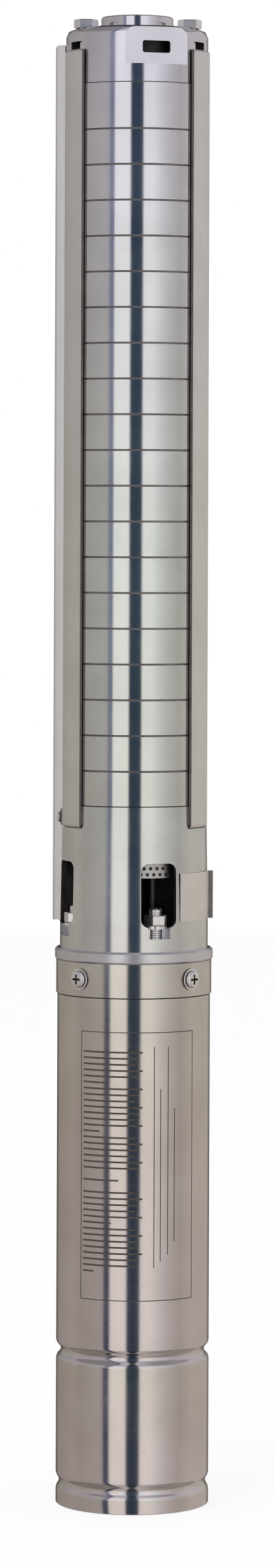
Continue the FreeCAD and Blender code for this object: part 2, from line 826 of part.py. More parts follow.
def motor_flange():
    body = turned_piece("motor_flange", [
        ("bush_radius", "flange_rim_low"), ("bush_radius + flange_hub_wall", "flange_rim_low"),
        ("bush_radius + flange_hub_wall", "flange_web_low"),
        ("seat_in_shell - flange_rim_wall", "flange_web_low"),
        ("seat_in_shell - flange_rim_wall", "flange_rim_low"), ("seat_in_shell", "flange_rim_low"),
        ("seat_in_shell", "flange_low"), ("flange_ring_radius - flange_edge", "flange_low"),
        ("flange_ring_radius", "flange_low + flange_edge"),
        ("flange_ring_radius", "motor_length - flange_edge"),
        ("flange_ring_radius - flange_edge", "motor_length"),
        ("pilot_radius", "motor_length"), ("pilot_radius", "pilot_top"),
        ("seal_pocket_radius", "pilot_top"), ("seal_pocket_radius", "seal_pocket_low"),
        ("bush_radius", "seal_pocket_low")])
    stud_hole = raise_flat(body, ("stud_circle", "0", "stud_radius + slip"),
                           "motor_length - stud_depth", "pilot_top", "Pocket", "stud_angle")
    around(body, [stud_hole], "stud_count")
    screw_hole = reach_in(body, ("0", "screw_height", "sleeve_screw_radius + slip"),
                          "sleeve_screw_angle", "sleeve_outer - sleeve_screw_reach - cut_over",
                          "sleeve_outer")
    around(body, [screw_hole], "stud_count")
    raise_flat(body, plug_outline("plug_play"), "flange_web_low", "pilot_top",
               "Pocket", "guard_angle")


def plug_outline(play):
    """Plan of the flat lead's plug, with play all round."""
    half = f"(plug_width / 2 + {play})"
    deep = f"(plug_thickness / 2 + {play})"
    corner = f"(plug_corner + {play})"
    return [(f"lead_exit_radius + {deep}", f"{half} - {corner}"),
            (f"lead_exit_radius + {deep} - {corner}", half, corner, 1),
            (f"lead_exit_radius - {deep} + {corner}", half),
            (f"lead_exit_radius - {deep}", f"{half} - {corner}", corner, 1),
            (f"lead_exit_radius - {deep}", f"0 - {half} + {corner}"),
            (f"lead_exit_radius - {deep} + {corner}", f"0 - {half}", corner, 1),
            (f"lead_exit_radius + {deep} - {corner}", f"0 - {half}"),
            (f"lead_exit_radius + {deep}", f"0 - {half} + {corner}", corner, 1)]


def shaft_seal():
    turned_piece("shaft_seal", ring(
        "journal_radius + free_gap", "seal_pocket_radius - slip",
        "seal_pocket_low", "seal_pocket_low + seal_height"))


def flange_sleeve():
    body = turned_piece("flange_sleeve", ring(
        "motor_radius + slip", "sleeve_outer", "flange_low - sleeve_height", "flange_low"))
    hole = reach_in(body, ("0", "screw_height", "sleeve_screw_radius + slip"),
                    "sleeve_screw_angle", "motor_radius - cut_over", "sleeve_outer + cut_over")
    around(body, [hole], "stud_count")


def sleeve_screws():
    body = new_body("sleeve_screws")
    steps = [("sleeve_screw_radius", "sleeve_outer - sleeve_screw_reach", "sleeve_outer"),
             ("screw_washer_radius", "sleeve_outer", "sleeve_outer + screw_washer"),
             ("screw_head_radius", "sleeve_outer + screw_washer",
              "sleeve_outer + screw_washer + screw_head_height")]
    screw = [reach_in(body, ("0", "screw_height", radius), "sleeve_screw_angle", inner, outer, "Pad")
             for radius, inner, outer in steps]
    around(body, screw, "stud_count")


def motor_studs():
    body = new_body("motor_studs")
    stud = raise_flat(body, ("stud_circle", "0", "stud_radius"), "motor_length - stud_depth",
                      "motor_length + stud_rise", "Pad", "stud_angle")
    around(body, [stud], "stud_count")


def ring_on_studs(label, outline, low, high):
    body = new_body(label)
    blank = raise_flat(body, outline, low, high, "Pad", "stud_angle")
    bore = raise_flat(body, ("stud_circle", "0", "stud_radius + slip"), low, high,
                      "Pocket", "stud_angle")
    around(body, [blank, bore], "stud_count")


def lock_washers():
    ring_on_studs("lock_washers", ("stud_circle", "0", "stud_washer_radius"),
                  "foot_ring_top", "nut_low")


def motor_nuts():
    ring_on_studs("motor_nuts", hexagon("nut_flats", "stud_circle"),
                  "nut_low", "nut_low + nut_height")


# Suction lantern, strainer and plate

def suction_lantern():
    body = turned_piece("suction_lantern", [
        ("lantern_foot_bore", "pilot_top"), ("pilot_radius + slip", "pilot_top"),
        ("pilot_radius + slip", "motor_length"), ("lantern_foot_radius", "motor_length"),
        ("lantern_foot_radius", "foot_ring_top"), ("lantern_top_radius", "lantern_top"),
        ("spigot_radius", "lantern_top"), ("spigot_radius", "lantern_top + spigot_height"),
        ("eye_radius", "lantern_top + spigot_height"),
        ("eye_radius", "lantern_top - lantern_plate"),
        ("lantern_inner_radius", "lantern_top - lantern_plate"),
        ("lantern_inner_radius", "foot_ring_top"), ("lantern_foot_bore", "foot_ring_top")])
    window = reach_in(body, round_box("window_width / 2", "foot_ring_top + window_sill",
                                      "foot_ring_top + window_sill + window_height",
                                      "window_corner"),
                      "stud_angle", "lantern_foot_bore", "lantern_foot_radius + cut_over")
    recess = reach_in(body, box_outline("0 - stud_recess_width / 2",
                                        "foot_ring_top + window_sill - stud_recess_height",
                                        "stud_recess_width / 2", "foot_ring_top + window_sill"),
                      "stud_angle", "lantern_foot_radius - stud_recess_depth",
                      "lantern_foot_radius + cut_over")
    hole = raise_flat(body, ("stud_circle", "0", "stud_radius + stud_play"),
                      "motor_length", "foot_ring_top", "Pocket", "stud_angle")
    around(body, [window, recess, hole], "stud_count")
    hook_slot = reach_in(body, box_outline("0 - strap_width / 2 - hook_play",
                                           "hook_low - hook_play",
                                           "strap_width / 2 + hook_play",
                                           "hook_top + hook_play"),
                         "strap_left_angle", "lantern_inner_radius - hook_reach - cut_over",
                         "strap_outer")
    around(body, [hook_slot], "strap_count")
    raise_flat(body, box_outline("guard_recess", "0 - guard_half - guard_play",
                                 "guard_radius", "guard_half + guard_play"),
               "motor_length", "lantern_top", "Pocket", "guard_angle")
    raise_flat(body, box_outline("lead_notch_radius", "0 - lead_notch_width / 2",
                                 "guard_radius", "lead_notch_width / 2"),
               "motor_length", "motor_length + lead_notch_height", "Pocket", "guard_angle")
    for side in ("-", "+"):
        reach_in(body, ("0", "ear_low + ear_height / 2", "ear_screw_radius + slip"),
                 f"(guard_angle {side} ear_angle)", "lantern_inner_radius - cut_over",
                 "ear_radius + cut_over")


def strainer():
    rim = "lantern_top - lantern_plate - strainer_drop"
    turned_piece("strainer", [
        ("strainer_eye", f"{rim} - strainer_height"), ("strainer_radius", f"{rim} - strainer_height"),
        ("strainer_radius", f"{rim} - strainer_rim"),
        ("lantern_inner_radius - slip", f"{rim} - strainer_rim"),
        ("lantern_inner_radius - slip", rim), ("strainer_radius - strainer_sheet", rim),
        ("strainer_radius - strainer_sheet", f"{rim} - strainer_height + strainer_sheet"),
        ("strainer_eye", f"{rim} - strainer_height + strainer_sheet")])


def data_plate():
    body = new_body("data_plate")
    low = "foot_ring_top + plate_lift"
    inner = "(lantern_foot_radius + plate_clear)"
    outer = f"({inner} + plate_thickness)"
    half = "(plate_right_angle - plate_left_angle) / 2"
    middle = "(plate_right_angle + plate_left_angle) / 2"
    raise_flat(body, sector(inner, outer, f"0 - {half}", half),
               low, f"{low} + plate_height", "Pad", middle)
    raise_flat(body, box_outline(inner, "0 - plate_lip_sheet", f"{outer} + plate_lip", "0"),
               low, f"{low} + plate_height", "Pad", "plate_right_angle")


# Stages: chambers, wear rings and impellers

def stage_chambers():
    body = turned_piece(
        "stage_chambers",
        [("chamber_inner", "lantern_top"), ("stage_radius - chamber_edge", "lantern_top"),
         ("stage_radius", "lantern_top + chamber_edge"),
         ("stage_radius", "lantern_top + chamber_height - chamber_edge"),
         ("stage_radius - chamber_edge", "lantern_top + chamber_height"),
         ("spigot_radius", "lantern_top + chamber_height"),
         ("spigot_radius", "lantern_top + stage_height + spigot_height"),
         ("eye_radius", "lantern_top + stage_height + spigot_height"),
         ("eye_radius", "plate_low"), ("chamber_inner", "plate_low")])
    vane = raise_flat(body, blade("return_vane_inner", "return_vane_outer", "return_vane_wrap",
                                  "return_vane_sheet"),
                      "plate_low - return_vane_height", "plate_low")
    around(body, [vane], "return_vane_count")
    stacked(body, "stage_count")


def wear_rings():
    body = turned_piece("wear_rings", ring(
        "wear_ring_inner", "wear_ring_outer",
        "lantern_top + spigot_height - wear_ring_height", "lantern_top + spigot_height"))
    stacked(body, "stage_count")


def impellers():
    body = turned_piece(
        "impellers",
        [("neck_inner", "lantern_top - impeller_neck_dip"),
         ("neck_outer", "lantern_top - impeller_neck_dip"),
         ("neck_outer", "lantern_top + impeller_low"),
         ("impeller_radius", "lantern_top + impeller_low"),
         ("impeller_radius", "blade_low"), ("neck_inner", "blade_low")],
        [("0", "blade_low"), ("hub_radius", "blade_low"), ("hub_radius", "blade_high"),
         ("impeller_radius", "blade_high"), ("impeller_radius", "blade_high + shroud"),
         ("hub_radius", "blade_high + shroud"), ("hub_radius", "hub_top"), ("0", "hub_top")])
    vane = raise_flat(body, blade("blade_inner", "blade_outer", "blade_wrap", "blade_sheet"),
                      "blade_low", "blade_high")
    around(body, [vane], "blade_count")
    raise_flat(body, hexagon("shaft_flats + 2 * slip"), "blade_low", "hub_top", "Pocket")
    stacked(body, "stage_count")


# Pump shaft and what is threaded on it

def pump_shaft():
    body = turned_piece(
        "pump_shaft",
        [("0", "pump_shaft_low"), ("shaft_end_radius", "pump_shaft_low"),
         ("shaft_end_radius", "pump_shaft_low + shaft_stub"),
         ("0", "pump_shaft_low + shaft_stub")],
        [("0", "blade_low - collar_height"), ("journal_sleeve_radius", "blade_low - collar_height"),
         ("journal_sleeve_radius", "blade_low"), ("0", "blade_low")],
        [("0", "shaft_nut_low"), ("shaft_thread_radius", "shaft_nut_low"),
         ("shaft_thread_radius", "shaft_nut_low + shaft_nut_height + shaft_end"),
         ("0", "shaft_nut_low + shaft_nut_height + shaft_end")])
    raise_flat(body, hexagon("shaft_flats"), "pump_shaft_low + shaft_stub / 2", "shaft_nut_low")


def bearing_sleeve():
    turned_piece("bearing_sleeve", ring(
        "journal_sleeve_bore", "journal_sleeve_radius", "journal_low", "shaft_nut_low"))


def shaft_nut():
    body = new_body("shaft_nut")
    raise_flat(body, hexagon("shaft_nut_flats"), "shaft_nut_low", "shaft_nut_low + shaft_nut_height")
    raise_flat(body, ("0", "0", "shaft_thread_radius + slip"), "shaft_nut_low",
               "shaft_nut_low + shaft_nut_height", "Pocket")


def shaft_coupling():
    turned_piece("shaft_coupling", ring(
        "shaft_end_radius + slip", "coupling_radius", "coupling_low", "coupling_top"))


# Top chamber with the upper bearing

def top_chamber():
    body = turned_piece(
        "top_chamber",
        [("chamber_inner", "stack_top"), ("stage_radius - chamber_edge", "stack_top"),
         ("stage_radius", "stack_top + chamber_edge"),
         ("stage_radius", "head_low - chamber_edge"), ("stage_radius - chamber_edge", "head_low"),
         ("top_ledge_radius", "head_low"), ("top_ledge_radius", "head_low - top_ledge"),
         ("chamber_inner", "head_low - 2 * top_ledge")],
        ring("top_bush_radius", "top_bush_radius + top_hub_wall", "top_hub_bottom", "top_hub_top"))
    rib = raise_flat(body, box_outline("top_bush_radius + top_hub_wall / 2", "0 - spider_rib / 2",
                                       "chamber_inner + chamber_wall / 2", "spider_rib / 2"),
                     "top_hub_bottom + rib_step", "top_hub_top - rib_step")
    around(body, [rib], "spider_count")


def top_bearing():
    turned_piece("top_bearing", ring(
        "journal_sleeve_radius + running", "top_bush_radius - slip", "top_hub_bottom", "top_hub_top"))


# Check valve in the discharge head

def valve_seat():
    turned_piece("valve_seat", [
        ("seat_bore", "head_low"), ("chamber_inner - slip", "head_low"),
        ("chamber_inner - slip", "seat_top"), ("seat_bore + seat_lip_wall", "seat_top"),
        ("seat_bore + seat_lip_wall", "lip_top"), ("seat_bore", "lip_top")])


def valve_cup():
    turned_piece("valve_cup", [
        ("0", "lip_top"), ("cup_radius", "lip_top"), ("cup_radius", "cup_top"),
        ("stem_radius", "cup_top"), ("stem_radius", "cup_top + stem_length"),
        ("0", "cup_top + stem_length")])


def valve_guide():
    body = turned_piece(
        "valve_guide",
        ring("valve_chamber_radius - slip - guide_ring_wall", "valve_chamber_radius - slip",
             "bore_low - guide_ring_height", "bore_low"),
        ring("guide_hub_bore", "guide_hub_outer", "guide_hub_low", "guide_hub_top"))
    arm = raise_flat(body, box_outline("guide_hub_outer - guide_hub_wall / 2", "0 - guide_arm / 2",
                                       "valve_chamber_radius - guide_ring_wall / 2",
                                       "guide_arm / 2"),
                     "bore_low - guide_ring_height", "guide_hub_top - rib_step")
    around(body, [arm], "guide_arm_count")


def valve_spring():
    body = new_body("valve_spring")
    sketch = new_sketch(body, "XZ_Plane")
    low = "cup_top + spring_wire + spring_seat"
    draw(sketch, box_outline("spring_radius - spring_wire", f"{low} - spring_wire",
                             "spring_radius + spring_wire", f"{low} + spring_wire"))
    coil = body.newObject("PartDesign::AdditiveHelix", "Helix")
    coil.Profile = sketch
    coil.ReferenceAxis = (sketch, ["V_Axis"])
    coil.Mode = 2
    set_size(coil, "Height", f"guide_hub_low - spring_wire - spring_seat - ({low})")
    set_size(coil, "Turns", "spring_turns")


# Discharge head

def discharge_head():
    body = turned_piece("discharge_head", [
        ("chamber_inner", "head_low"), ("head_radius", "head_low"),
        ("head_radius", "head_top - head_round"),
        ("head_radius - head_round * (1 - cos(45))", "head_top - head_round * (1 - cos(45))"),
        ("head_radius - head_round", "head_top"),
        ("neck_radius", "head_top"), ("neck_radius", "outlet_top - neck_edge"),
        ("neck_radius - neck_edge", "outlet_top"),
        ("outlet_radius", "outlet_top"), ("outlet_radius", "bore_low"),
        ("valve_chamber_radius", "bore_low"),
        ("valve_chamber_radius", "head_low + valve_chamber_low"),
        ("chamber_inner - head_step", "seat_top"), ("chamber_inner", "seat_top")])
    revolve(body, [ring("ring_pocket_inner", "ring_pocket_outer", "head_low + ring_pocket_low",
                        "head_low + ring_pocket_high")], "Groove")
    slot = box_outline("0 - slot_width / 2", "slot_bottom", "slot_width / 2", "slot_top")
    strap_slot = reach_in(body, slot, "strap_left_angle", "ring_pocket_inner",
                          "head_radius + cut_over")
    bolt_hole = raise_flat(body, ("bolt_circle", "0", "bolt_radius + bolt_play"),
                           "head_top - bolt_length - cut_over", "head_top", "Pocket",
                           "strap_left_angle")
    spotface = raise_flat(body, ("bolt_circle", "0", "spotface_radius"),
                          "head_top - spotface", "head_top + cut_over", "Pocket",
                          "strap_left_angle")
    around(body, [strap_slot, bolt_hole, spotface], "strap_count")
    for turn in ("rope_angle", "(rope_angle + 360 / strap_count)"):
        reach_in(body, box_outline("0 - flat_width / 2", "head_low + flat_low",
                                   "flat_width / 2", "head_low + flat_low + flat_height"),
                 turn, "sqrt(head_radius^2 - flat_width^2 / 4)", "head_radius + cut_over")
        reach_in(body, round_box("rope_slot_width / 2", "slot_bottom",
                                 "slot_bottom + rope_slot_height", "rope_slot_corner"),
                 turn, "ring_pocket_inner", "head_radius + cut_over")
    reach_in(body, slot, "guard_angle", "ring_pocket_inner", "head_radius + cut_over")


def strap_bolts():
    body = new_body("strap_bolts")
    seat = "head_top - spotface"
    shank = raise_flat(body, ("bolt_circle", "0", "bolt_radius"), f"{seat} - bolt_length + bolt_clear",
                       seat, "Pad", "strap_left_angle")
    head = raise_flat(body, hexagon("bolt_flats", "bolt_circle"), seat, f"{seat} + bolt_head",
                      "Pad", "strap_left_angle")
    around(body, [shank, head], "strap_count")


# Straps and cable guard

def strap(label, angle):
    body = new_body(label)
    revolve(body, [[
        ("lantern_inner_radius - hook_reach", "hook_low"),
        ("strap_outer - strap_bend", "hook_low"),
        ("strap_outer", "hook_low + strap_bend", "strap_bend", 1),
        ("strap_outer", "tongue_top - strap_sheet"),
        ("strap_inner", "tongue_top", "strap_sheet", 1),
        ("strap_inner", "hook_low + strap_bend"),
        ("strap_outer - strap_bend", "hook_top", "strap_bend - strap_sheet", -1),
        ("lantern_inner_radius - hook_reach", "hook_top")]],
        turn=f"{angle} - 90", angle="strap_angle")
    raise_flat(body, box_outline("tongue_end_radius", "0 - tongue_width / 2",
                                 "strap_inner + strap_sheet / 4", "tongue_width / 2"),
               "slot_bottom", "tongue_top", "Pad", angle)
    raise_flat(body, ("bolt_circle", "0", "bolt_radius + slip"), "slot_bottom", "tongue_top",
               "Pocket", angle)


def cable_guard():
    body = new_body("cable_guard")
    half, corner = "guard_half", "guard_round"
    raise_flat(body, [("guard_foot", f"0 - {half}"), (f"guard_radius - {corner}", f"0 - {half}"),
                      ("guard_radius", f"0 - {half} + {corner}", corner, 1),
                      ("guard_radius", f"{half} - {corner}"),
                      (f"guard_radius - {corner}", half, corner, 1), ("guard_foot", half)],
               "guard_bottom", "guard_top", "Pad", "guard_angle")
    side_profile(body, [("guard_radius + cut_over", "guard_top - guard_end"),
                        ("guard_radius + cut_over", "guard_top + cut_over"),
                        ("guard_radius - guard_end", "guard_top + cut_over"),
                        ("guard_radius - guard_end", "guard_top"),
                        ("guard_radius", "guard_top - guard_end", "guard_end", -1)],
                 "guard_angle", "2 * (guard_half + cut_over)", "Pocket")
    for depth, top in (("strap_inner", "guard_top"),
                       ("guard_radius - guard_sheet", "guard_top - guard_end")):
        raise_flat(body, box_outline("guard_foot - cut_over", f"0 - {half} + guard_sheet",
                                     depth, f"{half} - guard_sheet"),
                   "guard_bottom", top, "Pocket", "guard_angle")
    raise_flat(body, box_outline("ring_pocket_outer + guard_sheet", "0 - tongue_width / 2",
                                 "strap_inner + guard_sheet", "tongue_width / 2"),
               "guard_top - guard_end", "guard_top - guard_end + guard_tongue",
               "Pad", "guard_angle")
    for side in ("-", "+"):
        low, high = "ear_start_angle", "ear_end_angle"
        first, last = (f"0 - {high}", f"0 - {low}") if side == "-" else (low, high)
        raise_flat(body, sector("ear_radius", "(ear_radius + ear_sheet)", first, last),
                   "ear_low", "ear_low + ear_height", "Pad", "guard_angle")
        reach_in(body, ("0", "ear_low + ear_height / 2", "ear_screw_radius + slip"),
                 f"(guard_angle {side} ear_angle)", "ear_radius - cut_over",
                 "ear_radius + ear_sheet + cut_over")


def guard_screws():
    body = new_body("guard_screws")
    outer = "ear_radius + ear_sheet"
    for side in ("-", "+"):
        turn = f"(guard_angle {side} ear_angle)"
        for radius, inner, end in (
                ("ear_screw_radius", "lantern_inner_radius", outer),
                ("ear_screw_head", outer, f"{outer} + ear_screw_head_height")):
            reach_in(body, ("0", "ear_low + ear_height / 2", radius), turn, inner, end, "Pad")


def motor_lead():
    across, along = "cos(lead_angle)", "sin(lead_angle)"

    def side(sign):
        half = f"(0 {sign} lead_half)"
        return [
            (f"lead_exit_radius + {half}", "lead_start"),
            (f"lead_exit_radius + {half}", "lead_first_turn - lead_low_tangent"),
            (f"lead_exit_radius + lead_low_tangent * {along} + {half} * {across}",
             f"lead_first_turn + lead_low_tangent * {across} - {half} * {along}"),
            (f"lead_run_radius - lead_high_tangent * {along} + {half} * {across}",
             f"lead_second_turn - lead_high_tangent * {across} - {half} * {along}"),
            (f"lead_run_radius + {half}", "lead_second_turn + lead_high_tangent"),
            (f"lead_run_radius + {half}", "lead_top")]

    front, back = side("+"), side("-")[::-1]
    front[2] += ("lead_low_bend - lead_half", -1)
    front[4] += ("lead_high_bend + lead_half", 1)
    back[2] += ("lead_high_bend - lead_half", -1)
    back[4] += ("lead_low_bend + lead_half", 1)
    body = new_body("motor_lead")
    side_profile(body, front + back, "guard_angle", "lead_width")
    raise_flat(body, plug_outline("0"), "motor_length - plug_depth", "lead_start",
               "Pad", "guard_angle")


def write_parts():
    os.makedirs("parts", exist_ok=True)
    doc.recompute()
    for item in doc.Objects:
        if "Invalid" in item.State or "Error" in item.State:
            raise RuntimeError(f"{item.Name} in {item.Label} failed: {item.State}")
    for cut in doc.Objects:
        if cut.TypeId in ("PartDesign::Pocket", "PartDesign::Groove"):
            if cut.Shape.Volume >= cut.BaseFeature.Shape.Volume - 0.01:
                raise RuntimeError(f"{cut.Name} cuts nothing")
    for piece in subParts:
        if piece.Shape.isNull() or not piece.Shape.isValid() or not piece.Shape.Solids:
            raise RuntimeError(f"{piece.Label} has no sound shape")
    for piece in subParts:
        piece.Shape.exportStep(f"parts/{piece.Label}.step")
        print(piece.Label, len(piece.Shape.Solids), round(piece.Shape.Volume))


base_cap()
diaphragm()
lower_bracket()
thrust_bearing()
thrust_disc()
motor_shell()
stator_core()
stator_windings()
motor_shaft()
rotor_core()
motor_bearings()
motor_flange()
shaft_seal()
flange_sleeve()
sleeve_screws()
motor_studs()
lock_washers()
motor_nuts()
suction_lantern()
strainer()
data_plate()
stage_chambers()
wear_rings()
impellers()
pump_shaft()
bearing_sleeve()
shaft_nut()
shaft_coupling()
top_chamber()
top_bearing()
valve_seat()
valve_cup()
valve_guide()
valve_spring()
discharge_head()
strap_bolts()
strap("strap_front_left", "strap_left_angle")
strap("strap_front_right", "(strap_left_angle + 360 / strap_count)")
strap("strap_rear", "(strap_left_angle + 720 / strap_count)")
cable_guard()
guard_screws()
motor_lead()
write_parts()
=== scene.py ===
import json
import math

import bmesh
import bpy
import numpy as np
from mathutils import Matrix, Vector


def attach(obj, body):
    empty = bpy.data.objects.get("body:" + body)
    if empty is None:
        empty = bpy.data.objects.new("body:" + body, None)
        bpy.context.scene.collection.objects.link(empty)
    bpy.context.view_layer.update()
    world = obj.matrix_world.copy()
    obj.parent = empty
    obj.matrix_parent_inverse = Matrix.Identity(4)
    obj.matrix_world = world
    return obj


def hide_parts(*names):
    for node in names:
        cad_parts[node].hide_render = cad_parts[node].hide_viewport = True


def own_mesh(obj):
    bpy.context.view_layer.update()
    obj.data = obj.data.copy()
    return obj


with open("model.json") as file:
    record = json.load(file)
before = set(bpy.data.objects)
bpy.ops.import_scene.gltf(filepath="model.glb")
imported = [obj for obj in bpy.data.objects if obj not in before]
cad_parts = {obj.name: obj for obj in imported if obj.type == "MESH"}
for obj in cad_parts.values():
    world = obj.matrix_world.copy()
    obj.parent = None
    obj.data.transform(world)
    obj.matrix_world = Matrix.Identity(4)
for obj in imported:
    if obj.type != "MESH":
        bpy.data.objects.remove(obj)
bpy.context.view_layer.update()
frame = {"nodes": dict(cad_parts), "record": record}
nodes = frame["nodes"]
mm = 0.001
merging = 0.001 * mm        # corners nearer than this are one
lineRelief = 0.05 * mm
grainRelief = 0.1 * mm
nearZero = 1e-9
print("frame loaded:", len(nodes), "nodes")


# sRGB hex to linear, with alpha
def linear(hexColour):
    channels = [int(hexColour[i:i + 2], 16) / 255 for i in (1, 3, 5)]
    return [c / 12.92 if c <= 0.04045 else ((c + 0.055) / 1.055) ** 2.4 for c in channels] + [1]


# a node with its settings, its socket values and what feeds its sockets
def addNode(tree, kind, sockets=None, links=None, **settings):
    node = tree.nodes.new(kind)
    for name, value in settings.items():
        setattr(node, name, value)
    for name, value in (sockets or {}).items():
        node.inputs[name].default_value = value
    for name, source in (links or {}).items():
        tree.links.new(source, node.inputs[name])
    return node


def newMaterial(name):
    material = bpy.data.materials.new(name)
    material.use_nodes = True
    material.node_tree.nodes.clear()
    return material, material.node_tree


def surface(tree, shader):
    addNode(tree, "ShaderNodeOutputMaterial", links={"Surface": shader.outputs[0]})


# colour stops from a list of (place, hex)
def setStops(ramp, stops):
    elements = ramp.color_ramp.elements
    while len(elements) < len(stops):
        elements.new(0.5)
    for element, (place, hexColour) in zip(elements, stops):
        element.position = place
        element.color = linear(hexColour)


# Stainless steel with the faint lines of turning or buffing, which run along the
# directions whose stretch is small. Blotches are the handling marks of bright steel.
def stainless(name, look):
    material, tree = newMaterial(name)
    place = addNode(tree, "ShaderNodeTexCoord")
    along = addNode(tree, "ShaderNodeMapping", links={"Vector": place.outputs["Object"]})
    along.inputs["Scale"].default_value = [1 / (gap * mm) for gap in look["lineGaps"]]
    lines = addNode(tree, "ShaderNodeTexNoise", {"Scale": 1, "Detail": 3, "Roughness": 0.6},
                    {"Vector": along.outputs[0]})
    blotches = addNode(tree, "ShaderNodeTexNoise",
                       {"Scale": 1 / (look["blotch"] * mm), "Detail": 4, "Roughness": 0.55},
                       {"Vector": place.outputs["Object"]})
    tone = addNode(tree, "ShaderNodeValToRGB", links={"Fac": blotches.outputs["Fac"]})
    setStops(tone, [(0.35, look["dark"]), (0.65, look["light"])])
    lineRoughness = addNode(tree, "ShaderNodeMapRange",
                            {"From Min": 0.3, "From Max": 0.7, "To Min": look["roughness"][0],
                             "To Max": look["roughness"][1]}, {"Value": lines.outputs["Fac"]})
    blotchRoughness = addNode(tree, "ShaderNodeMapRange",
                              {"From Min": 0.4, "From Max": 0.7, "To Min": 0,
                               "To Max": look["smear"]}, {"Value": blotches.outputs["Fac"]})
    roughness = addNode(tree, "ShaderNodeMath", operation="ADD",
                        links={0: lineRoughness.outputs[0], 1: blotchRoughness.outputs[0]})
    bump = addNode(tree, "ShaderNodeBump", {"Strength": look["bump"], "Distance": lineRelief},
                   {"Height": lines.outputs["Fac"]})
    shader = addNode(tree, "ShaderNodeBsdfPrincipled", {"Metallic": 1},
                     {"Base Color": tone.outputs["Color"], "Roughness": roughness.outputs[0],
                      "Normal": bump.outputs["Normal"]})
    surface(tree, shader)
    return material


# Rubber, plastic, carbon and iron: fine grain in the colour and in the relief
def grained(name, look):
    material, tree = newMaterial(name)
    place = addNode(tree, "ShaderNodeTexCoord")
    grain = addNode(tree, "ShaderNodeTexNoise",
                    {"Scale": 1 / (look["grain"] * mm), "Detail": 5, "Roughness": 0.6},
                    {"Vector": place.outputs["Object"]})
    tone = addNode(tree, "ShaderNodeValToRGB", links={"Fac": grain.outputs["Fac"]})
    setStops(tone, [(0.3, look["dark"]), (0.7, look["light"])])
    roughness = addNode(tree, "ShaderNodeMapRange",
                        {"From Min": 0.3, "From Max": 0.7, "To Min": look["roughness"][0],
                         "To Max": look["roughness"][1]}, {"Value": grain.outputs["Fac"]})
    bump = addNode(tree, "ShaderNodeBump", {"Strength": look["bump"], "Distance": grainRelief},
                   {"Height": grain.outputs["Fac"]})
    shader = addNode(tree, "ShaderNodeBsdfPrincipled", {"Metallic": look["metallic"]},
                     {"Base Color": tone.outputs["Color"], "Roughness": roughness.outputs[0],
                      "Normal": bump.outputs["Normal"]})
    surface(tree, shader)
    return material


